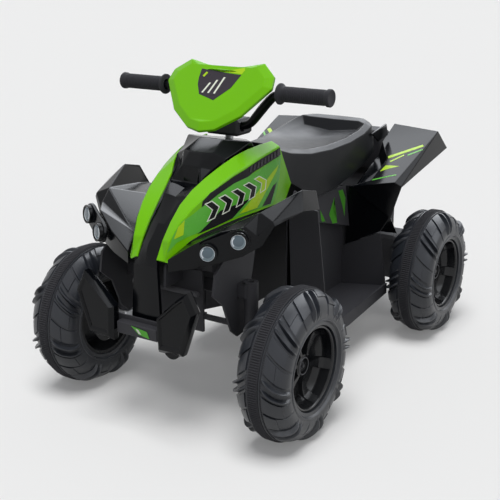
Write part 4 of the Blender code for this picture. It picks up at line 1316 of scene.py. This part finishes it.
@dataclass
class MiddleBody:
    """Chassis tunnel, footwells, saddle, rear fenders and tail cover."""

    fold_soft: float = 0.0022
    # Corners as (y, z)
    fin: tuple[Point2, ...] = ((0.3690, 0.5215), (0.2840, 0.5080), (0.3256, 0.4820),
                               (0.3800, 0.4900))
    fin_x: float = 0.120
    fin_half: float = 0.0025
    fin_soft: float = 0.0012

    def build(self) -> None:
        """Dresses the middle and the rear."""
        dress_skin("chassis_tunnel", Paint.MATTE_BLACK, "chassis", (0, 0, 3.0), wall=0.0029,
                   soft=0.0050)
        for side in Side:
            s, word = side.value, side.word
            dress_solid(f"{word}_footwell", Paint.MATTE_BLACK, "chassis", soft=0.0011)
            dress_skin(f"{word}_rear_fender", Paint.BODY_BLACK, "chassis",
                       (0.9 * s, -0.6, 1.2), wall=0.0029, soft=self.fold_soft, angle=14.0)
        dress_skin("tail_cover", Paint.MATTE_BLACK, "chassis", (0, 0.4, 3.0), wall=0.0029,
                   soft=0.0050)
        saddle = merged("seat")
        pair_triangles(saddle, bend=30.0, skew=70.0)
        piece = add_piece("seat_moulding", saddle, Paint.SADDLE, "chassis", ["seat"],
                          angle=180.0)
        round_edges(piece, width=0.0035, segments=3, angle=28.0)
        level_shading(piece)
        fin = plate(self.fin, View.SIDE, self.fin_x - self.fin_half,
                    self.fin_x + self.fin_half, self.fin_soft)
        add_pair("saddle_fin", fin, Paint.BODY_BLACK, "chassis")


@dataclass
class Steering:
    """Column, bar, grips, clamp, shield and the linkage below."""

    grip_y: float = -0.204
    grip_z: float = 0.667
    grip_span: tuple[float, float] = (0.143, 0.262)
    rib_count: int = 22

    def grip(self) -> Bmesh:
        """The left grip: rings between a wide inner flange and a flared end.

        Returns:
            A closed bmesh.
        """
        inner, outer = self.grip_span
        root, crest = 0.0150, 0.0160
        profile = [(inner, 0.0110), (inner, 0.0208), (inner + 0.0008, 0.0216),
                   (inner + 0.0040, 0.0216), (inner + 0.0052, 0.0208), (inner + 0.0066, 0.0175),
                   (inner + 0.0090, crest)]
        first, last = inner + 0.0120, outer - 0.0150
        pitch = (last - first) / self.rib_count
        for i in range(self.rib_count):
            at = first + pitch * i
            profile += [(at, root), (at + pitch * 0.30, root), (at + pitch * 0.45, crest),
                        (at + pitch * 0.85, crest)]
        profile += [(last, root), (outer - 0.0110, 0.0152), (outer - 0.0080, 0.0178),
                    (outer - 0.0020, 0.0180), (outer - 0.0004, 0.0168), (outer, 0.0140),
                    (outer - 0.0010, 0.0110), (outer - 0.0010, 0.0001), (outer - 0.0034, 0.0001),
                    (outer - 0.0034, 0.0110)]
        bm = turned(profile, steps=48)
        bmesh.ops.translate(bm, verts=bm.verts, vec=(0.0, self.grip_y, self.grip_z))
        return bm

    def build(self) -> None:
        """Dresses the steering group and the parts that it turns."""
        add_pair("grip", self.grip(), Paint.GRIP, "handlebar_group", 40.0, "_ribbed")
        for side in Side:
            dress_solid(f"{side.word}_knuckle", Paint.STEEL, f"{side.word}_knuckle_body",
                        soft=0.0008)
        bar = merged("handlebar")
        pair_triangles(bar, bend=60.0, skew=80.0)
        piece = add_piece("handlebar_tube", bar, Paint.TUBE, "handlebar_group", ["handlebar"])
        subdivide(piece, levels=2)
        dress_solid("steering_column", Paint.STEEL, "handlebar_group", soft=0.0006)
        dress_solid("handlebar_clamp", Paint.MATTE_BLACK, "handlebar_group", soft=0.0014)
        dress_skin("number_shield", Paint.LIME, "handlebar_group", (0, -1.0, 1.4),
                   wall=0.0028, soft=0.0018, angle=10.0)
        dress_solid("tie_rod", Paint.MATTE_BLACK, "tie_rod_body", soft=0.0007)


@dataclass(frozen=True)
class Band:
    """The strip of a surface between two lines, each given by its ends as (y, z)."""

    first: tuple[Point2, Point2]
    second: tuple[Point2, Point2]

    def spot(self, along: float, across: float) -> Point2:
        """A point of the band.

        Args:
            along: the share of the lines' length.
            across: the share of the way from the first line to the second.

        Returns:
            The point.
        """
        low = Vector(self.first[0]).lerp(Vector(self.first[1]), along)
        high = Vector(self.second[0]).lerp(Vector(self.second[1]), along)
        return tuple(low.lerp(high, across))


@dataclass(frozen=True)
class Chevron:
    """An arrow's steps along its band, and how far it stays from the band's two lines."""

    back: float
    front: float
    notch: float
    tip: float
    inset: float

    def halves(self, band: Band, start: float) -> list[list[Point2]]:
        """The arrow as two outlines that meet on the band's middle.

        Args:
            band: the band that it stands in.
            start: where it starts, as a share of the band's length.

        Returns:
            The corners of each half.
        """
        return [[band.spot(start + step, across)
                 for step, across in ((self.back, level), (self.front, level),
                                      (self.tip, 0.5), (self.notch, 0.5))]
                for level in (self.inset, 1.0 - self.inset)]


@dataclass
class Graphics:
    """Films on the bodywork: plain arrows, blades and stripes, with no lettering."""

    # Corners as (y, z) on the left side panel
    field: tuple[Point2, ...] = (
        (-0.4554, 0.3887), (-0.4443, 0.4126), (-0.4277, 0.4358), (-0.4094, 0.4440),
        (-0.3800, 0.4590), (-0.3349, 0.4790), (-0.2951, 0.4930), (-0.2526, 0.5010),
        (-0.1352, 0.5269), (-0.1334, 0.5274), (-0.1473, 0.4853), (-0.1672, 0.4535),
        (-0.1882, 0.4312), (-0.2422, 0.4317), (-0.2899, 0.4289), (-0.3515, 0.4211),
        (-0.4190, 0.4078), (-0.4408, 0.3987), (-0.4588, 0.3813))
    strip: tuple[Point2, ...] = (
        (-0.3750, 0.4700), (-0.3555, 0.4830), (-0.2937, 0.5063), (-0.2182, 0.5275),
        (-0.1387, 0.5418), (-0.1352, 0.5269), (-0.2326, 0.5080), (-0.2526, 0.5010),
        (-0.2951, 0.4930), (-0.3349, 0.4790), (-0.3800, 0.4590))
    wedges: tuple[tuple[Point2, ...], ...] = (
        ((-0.4000, 0.4100), (-0.3400, 0.4460), (-0.2600, 0.4560), (-0.3150, 0.4260)),
        ((-0.2250, 0.4330), (-0.1960, 0.4330), (-0.1640, 0.4730), (-0.1800, 0.4680)))
    blades: tuple[tuple[Point2, ...], ...] = (
        ((-0.4440, 0.4060), (-0.4330, 0.4280), (-0.4180, 0.4400), (-0.4270, 0.4120)),
        ((-0.2960, 0.4310), (-0.2420, 0.4335), (-0.1620, 0.4950), (-0.1500, 0.5080),
         (-0.1800, 0.4940)))
    arrow_band: Band = Band(((-0.376, 0.4300), (-0.190, 0.4690)),
                            ((-0.372, 0.4640), (-0.206, 0.4995)))
    arrows: int = 5
    arrow_start: float = 0.02
    arrow_pitch: float = 0.200
    arrow: Chevron = Chevron(back=0.0, front=0.080, notch=0.080, tip=0.160, inset=0.04)
    border: Chevron = Chevron(back=-0.024, front=0.088, notch=0.065, tip=0.175, inset=-0.02)
    louvre_band: Band = Band(((-0.2443, 0.5197), (-0.1396, 0.5400)),
                             ((-0.2500, 0.5072), (-0.1400, 0.5275)))
    louvres: int = 9
    # A louvre's corners: the share of its own pitch, and how far down the band
    louvre: tuple[Point2, ...] = ((0.0, 0.06), (0.48, 0.06), (0.40, 0.94), (-0.08, 0.94))
    louvre_start: float = 0.10

    def side_panels(self) -> None:
        """Lays the green field, the louvred strip, the wedges, the blades and the arrows."""
        panel = bpy.data.objects["left_side_panel_skin"]

        def lay(name: str, outlines: Iterable[Sequence[Point2]], paint: Paint, lift: float,
                height: float = 0.0) -> None:
            """Lays sheets on both side panels."""
            lay_both(name, outlines, panel, View.SIDE, paint, "chassis", lift, height)
        lay("field_film", [self.field], Paint.GREEN_FILM, 0.0003)
        lay("strip_film", [self.strip], Paint.BLACK_FILM, 0.0005)
        lay("wedge_film", self.wedges, Paint.BLACK_FILM, 0.0005)
        lay("blade_film", self.blades, Paint.YELLOW_FILM, 0.0006)
        marks, borders = ([half for i in range(self.arrows) for half in shape.halves(
            self.arrow_band, self.arrow_start + i * self.arrow_pitch)]
            for shape in (self.arrow, self.border))
        lay("bar_borders", borders, Paint.PALE_FILM, 0.0007)
        lay("bar_films", marks[:-2], Paint.BLACK_FILM, 0.0009)
        lay("last_bar_film", marks[-2:], Paint.YELLOW_FILM, 0.0009)
        slats = [[self.louvre_band.spot((i + self.louvre_start + step) / self.louvres, fall)
                  for step, fall in self.louvre] for i in range(self.louvres)]
        lay("louvre_slats", slats, Paint.GREY_FILM, 0.0006, 0.0009)

    def shield(self) -> None:
        """Lays the dark sticker, its slashes and the strip above it."""
        shield = bpy.data.objects["number_shield_skin"]
        sticker = ((-0.0512, 0.7053), (-0.0198, 0.7036), (0.0128, 0.7007), (0.0519, 0.6987),
                   (0.0390, 0.6734), (0.0088, 0.6487), (-0.0322, 0.6578), (-0.0458, 0.6766),
                   (-0.0494, 0.6881))
        strip = ((-0.0196, 0.7068), (0.0124, 0.7042), (0.0590, 0.7135), (0.0520, 0.7001),
                 (0.0120, 0.7021))
        spark = ((-0.0420, 0.6920), (-0.0360, 0.7000), (-0.0310, 0.6985), (-0.0370, 0.6900))
        slashes = [((x - 0.0050, 0.6610), (x - 0.0005, 0.6607), (x + 0.0095, top),
                    (x + 0.0050, top + 0.0003))
                   for x, top in ((-0.0230, 0.6800), (-0.0080, 0.6860), (0.0070, 0.6920))]
        for name, outlines, paint, lift in (
                ("shield_sticker", [sticker], Paint.GREY_FILM, 0.0003),
                ("shield_strip", [strip], Paint.YELLOW_FILM, 0.0003),
                ("shield_spark", [spark], Paint.YELLOW_FILM, 0.0005),
                ("shield_slashes", slashes, Paint.PALE_FILM, 0.0006)):
            film = joined(laid(outline, shield, View.FRONT, lift) for outline in outlines)
            add_piece(name, film, paint, "handlebar_group")

    def rear_fenders(self) -> None:
        """Lays the stripes on the rear fenders' decks."""
        fender = bpy.data.objects["left_rear_fender_skin"]
        stripes = (((0.1581, 0.3059), (0.2250, 0.3660), (0.2310, 0.3580), (0.1640, 0.2960)),
                   ((0.1725, 0.2851), (0.1960, 0.3175), (0.1990, 0.3130), (0.1766, 0.2811)),
                   ((0.1660, 0.2440), (0.1700, 0.2680), (0.2075, 0.2672)))
        lines = (((0.1585, 0.2129), (0.2151, 0.2323), (0.2169, 0.2283), (0.1627, 0.2089)),
                 ((0.2050, 0.3180), (0.2330, 0.3470), (0.2350, 0.3420), (0.2080, 0.3130)))
        lay_both("deck_stripes", stripes, fender, View.TOP, Paint.YELLOW_FILM, "chassis")
        lay_both("deck_lines", lines, fender, View.TOP, Paint.GREEN_FILM, "chassis")

    def footwells(self) -> None:
        """Lays the blades on the body sides above the footboards."""
        well = bpy.data.objects["left_footwell_moulding"]
        blades = (((0.0640, 0.3580), (0.0720, 0.3240), (0.0960, 0.3180)),
                  ((0.1360, 0.3740), (0.1100, 0.3360), (0.1300, 0.3080), (0.1540, 0.3050),
                   (0.1330, 0.3360)),
                  ((0.1560, 0.3850), (0.1780, 0.3840), (0.1950, 0.3600), (0.1930, 0.3120),
                   (0.1800, 0.3420)))
        lay_both("flank_blades", blades, well, View.SIDE, Paint.GREEN_FILM, "chassis")

    def build(self) -> None:
        """Lays every film."""
        self.side_panels()
        self.shield()
        self.rear_fenders()
        self.footwells()


@dataclass
class DriveAndControls:
    """Motors, axle, battery and the switches that the rider uses."""

    # The solid, its finish, its body and its edges' rounding
    parts: tuple[tuple[str, Paint, str, float], ...] = (
        ("left_drive_unit", Paint.GREY, "chassis", 0.0015),
        ("right_drive_unit", Paint.GREY, "chassis", 0.0015),
        ("battery", Paint.GREY, "chassis", 0.0012),
        ("control_box", Paint.GREY, "chassis", 0.0012),
        ("charging_socket", Paint.GREY, "chassis", 0.0006),
        ("dash_panel", Paint.BODY_BLACK, "chassis", 0.0008),
        ("power_button", Paint.LIME, "power_button_body", 0.0008),
        ("horn_button", Paint.LIME, "horn_button_body", 0.0008),
        ("direction_rocker", Paint.GREY, "direction_rocker_body", 0.0008),
        ("foot_pedal", Paint.GREY, "foot_pedal_body", 0.0012))

    def build(self) -> None:
        """Dresses the drive and the controls."""
        coat_node("rear_axle", Paint.STEEL)
        for node, paint, body, soft in self.parts:
            dress_solid(node, paint, body, soft)


@dataclass(frozen=True)
class Softbox:
    """A broad, far and soft lamp.

    The way points to it, and the spread is the angle that it fills, in degrees. A lamp in
    gloss shows only in the gloss of things, and the others light only their colours.
    """

    name: str
    way: Point3
    spread: float
    strength: float
    tint: Rgb = (1.0, 1.0, 1.0)
    in_gloss: bool = False


@dataclass(frozen=True)
class Studio:
    """Pale floor, soft light and the camera."""

    eye: Point3 = (1.11874, -1.84144, 0.93502)
    target: Point3 = (0.0323, -0.1417, 0.3014)
    lens: float = 67.68
    sensor: float = 36.0
    floor_reach: float = 60.0
    floor_colour: Rgb = (0.815, 0.813, 0.807)
    floor_bounce: Rgb = (0.22, 0.22, 0.225)
    floor_glow: float = 0.15
    sky_colour: Rgb = (0.92, 0.95, 1.0)
    backdrop: Rgb = (0.847, 0.847, 0.850)
    sky_strength: float = 0.22
    cool: Rgb = (0.90, 0.94, 1.0)
    softboxes: tuple[Softbox, ...] = (
        Softbox("back", (-0.18, 0.68, 0.72), spread=60.0, strength=2.60, tint=cool,
                in_gloss=True),
        Softbox("side", (0.72, 0.20, 0.66), spread=50.0, strength=1.10, tint=cool,
                in_gloss=True),
        Softbox("key", (0.10, -0.22, 0.97), spread=34.0, strength=2.50),
        Softbox("fill", (0.62, -0.68, 0.40), spread=40.0, strength=0.55))

    @staticmethod
    def seen(tree: Tree) -> bpy.types.NodeSocket:
        """Tells the rays that show the plain surround: straight, reflected or refracted.

        Args:
            tree: the tree that asks.

        Returns:
            A value socket, 1 for those rays.
        """
        path = tree.nodes.new("ShaderNodeLightPath")
        some, every = (tree.nodes.new("ShaderNodeMath") for _ in range(2))
        some.operation = every.operation = "MAXIMUM"
        wire(tree, (path.outputs["Is Camera Ray"], some.inputs[0]),
             (path.outputs["Is Glossy Ray"], some.inputs[1]),
             (some.outputs["Value"], every.inputs[0]),
             (path.outputs["Is Transmission Ray"], every.inputs[1]))
        return every.outputs["Value"]

    def floor(self) -> None:
        """Lays the floor at the height of the tyres' foot."""
        bm = bmesh.new()
        bmesh.ops.create_grid(bm, x_segments=1, y_segments=1, size=self.floor_reach)
        mesh = bpy.data.meshes.new("studio_floor")
        bm.to_mesh(mesh)
        bm.free()
        mat = bpy.data.materials.new("studio_floor")
        mat.use_nodes = True
        tree = mat.node_tree
        tree.nodes.remove(tree.nodes["Principled BSDF"])
        paper, dim = (tree.nodes.new("ShaderNodeBsdfDiffuse") for _ in range(2))
        paper.inputs["Color"].default_value = (*self.floor_colour, 1.0)
        dim.inputs["Color"].default_value = (*self.floor_bounce, 1.0)
        glow = tree.nodes.new("ShaderNodeEmission")
        glow.inputs["Color"].default_value = (*self.backdrop, 1.0)
        soften, pick = (tree.nodes.new("ShaderNodeMixShader") for _ in range(2))
        soften.inputs["Fac"].default_value = self.floor_glow
        wire(tree, (paper.outputs["BSDF"], soften.inputs[1]),
             (glow.outputs["Emission"], soften.inputs[2]),
             (self.seen(tree), pick.inputs["Fac"]),
             (dim.outputs["BSDF"], pick.inputs[1]), (soften.outputs["Shader"], pick.inputs[2]),
             (pick.outputs["Shader"], tree.nodes["Material Output"].inputs["Surface"]))
        mesh.materials.append(mat)
        floor = bpy.data.objects.new("studio_floor", mesh)
        bpy.context.scene.collection.objects.link(floor)
        floor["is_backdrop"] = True

    def sky(self) -> None:
        """Sets a dim, even surround that looks like the plain pale backdrop."""
        world = bpy.data.worlds.new("studio")
        world.use_nodes = True
        tree = world.node_tree
        light = tree.nodes["Background"]
        light.inputs["Color"].default_value = (*self.sky_colour, 1.0)
        light.inputs["Strength"].default_value = self.sky_strength
        plain = tree.nodes.new("ShaderNodeBackground")
        plain.inputs["Color"].default_value = (*self.backdrop, 1.0)
        pick = tree.nodes.new("ShaderNodeMixShader")
        wire(tree, (self.seen(tree), pick.inputs["Fac"]),
             (light.outputs["Background"], pick.inputs[1]),
             (plain.outputs["Background"], pick.inputs[2]),
             (pick.outputs["Shader"], tree.nodes["World Output"].inputs["Surface"]))
        bpy.context.scene.world = world

    def lamp(self, box: Softbox) -> None:
        """Adds one softbox.

        Args:
            box: the softbox.
        """
        data = bpy.data.lights.new(box.name, "SUN")
        data.angle, data.energy = math.radians(box.spread), box.strength
        data.color = box.tint
        lamp = bpy.data.objects.new(box.name, data)
        lamp.visible_glossy, lamp.visible_diffuse = box.in_gloss, not box.in_gloss
        lamp.rotation_euler = Vector(box.way).to_track_quat("Z", "Y").to_euler()
        bpy.context.scene.collection.objects.link(lamp)

    def camera(self) -> None:
        """Sets the camera at the photograph's angle."""
        data = bpy.data.cameras.new("camera")
        data.lens, data.sensor_width = self.lens, self.sensor
        camera = bpy.data.objects.new("camera", data)
        camera.location = self.eye
        way = Vector(self.target) - Vector(self.eye)
        camera.rotation_euler = way.to_track_quat("-Z", "Y").to_euler()
        bpy.context.scene.collection.objects.link(camera)
        bpy.context.scene.camera = camera

    def build(self) -> None:
        """Sets up the whole studio."""
        self.floor()
        self.sky()
        for box in self.softboxes:
            self.lamp(box)
        self.camera()
        bpy.context.scene.view_settings.view_transform = "Standard"


def note_sizes(key: str, sizes: dict[str, list[list[float]]]) -> None:
    """Records the quad's bounds under one key.

    Args:
        key: when they were taken.
        sizes: the table that they go in.
    """
    low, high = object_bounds()
    sizes[key] = [[float(v) for v in low], [float(v) for v in high]]


def main() -> None:
    """Builds the whole quad in order, then the studio."""
    logging.basicConfig(level=logging.INFO, format="%(message)s")
    sizes: dict[str, list[list[float]]] = {}
    note_sizes("solids", sizes)
    for assembly in (Wheels(), FrontBody(), Lamps(), MiddleBody(), Steering(),
                     DriveAndControls(), Graphics()):
        assembly.build()
    Studio().build()
    note_sizes("dressed", sizes)


if __name__ == "__main__":
    main()
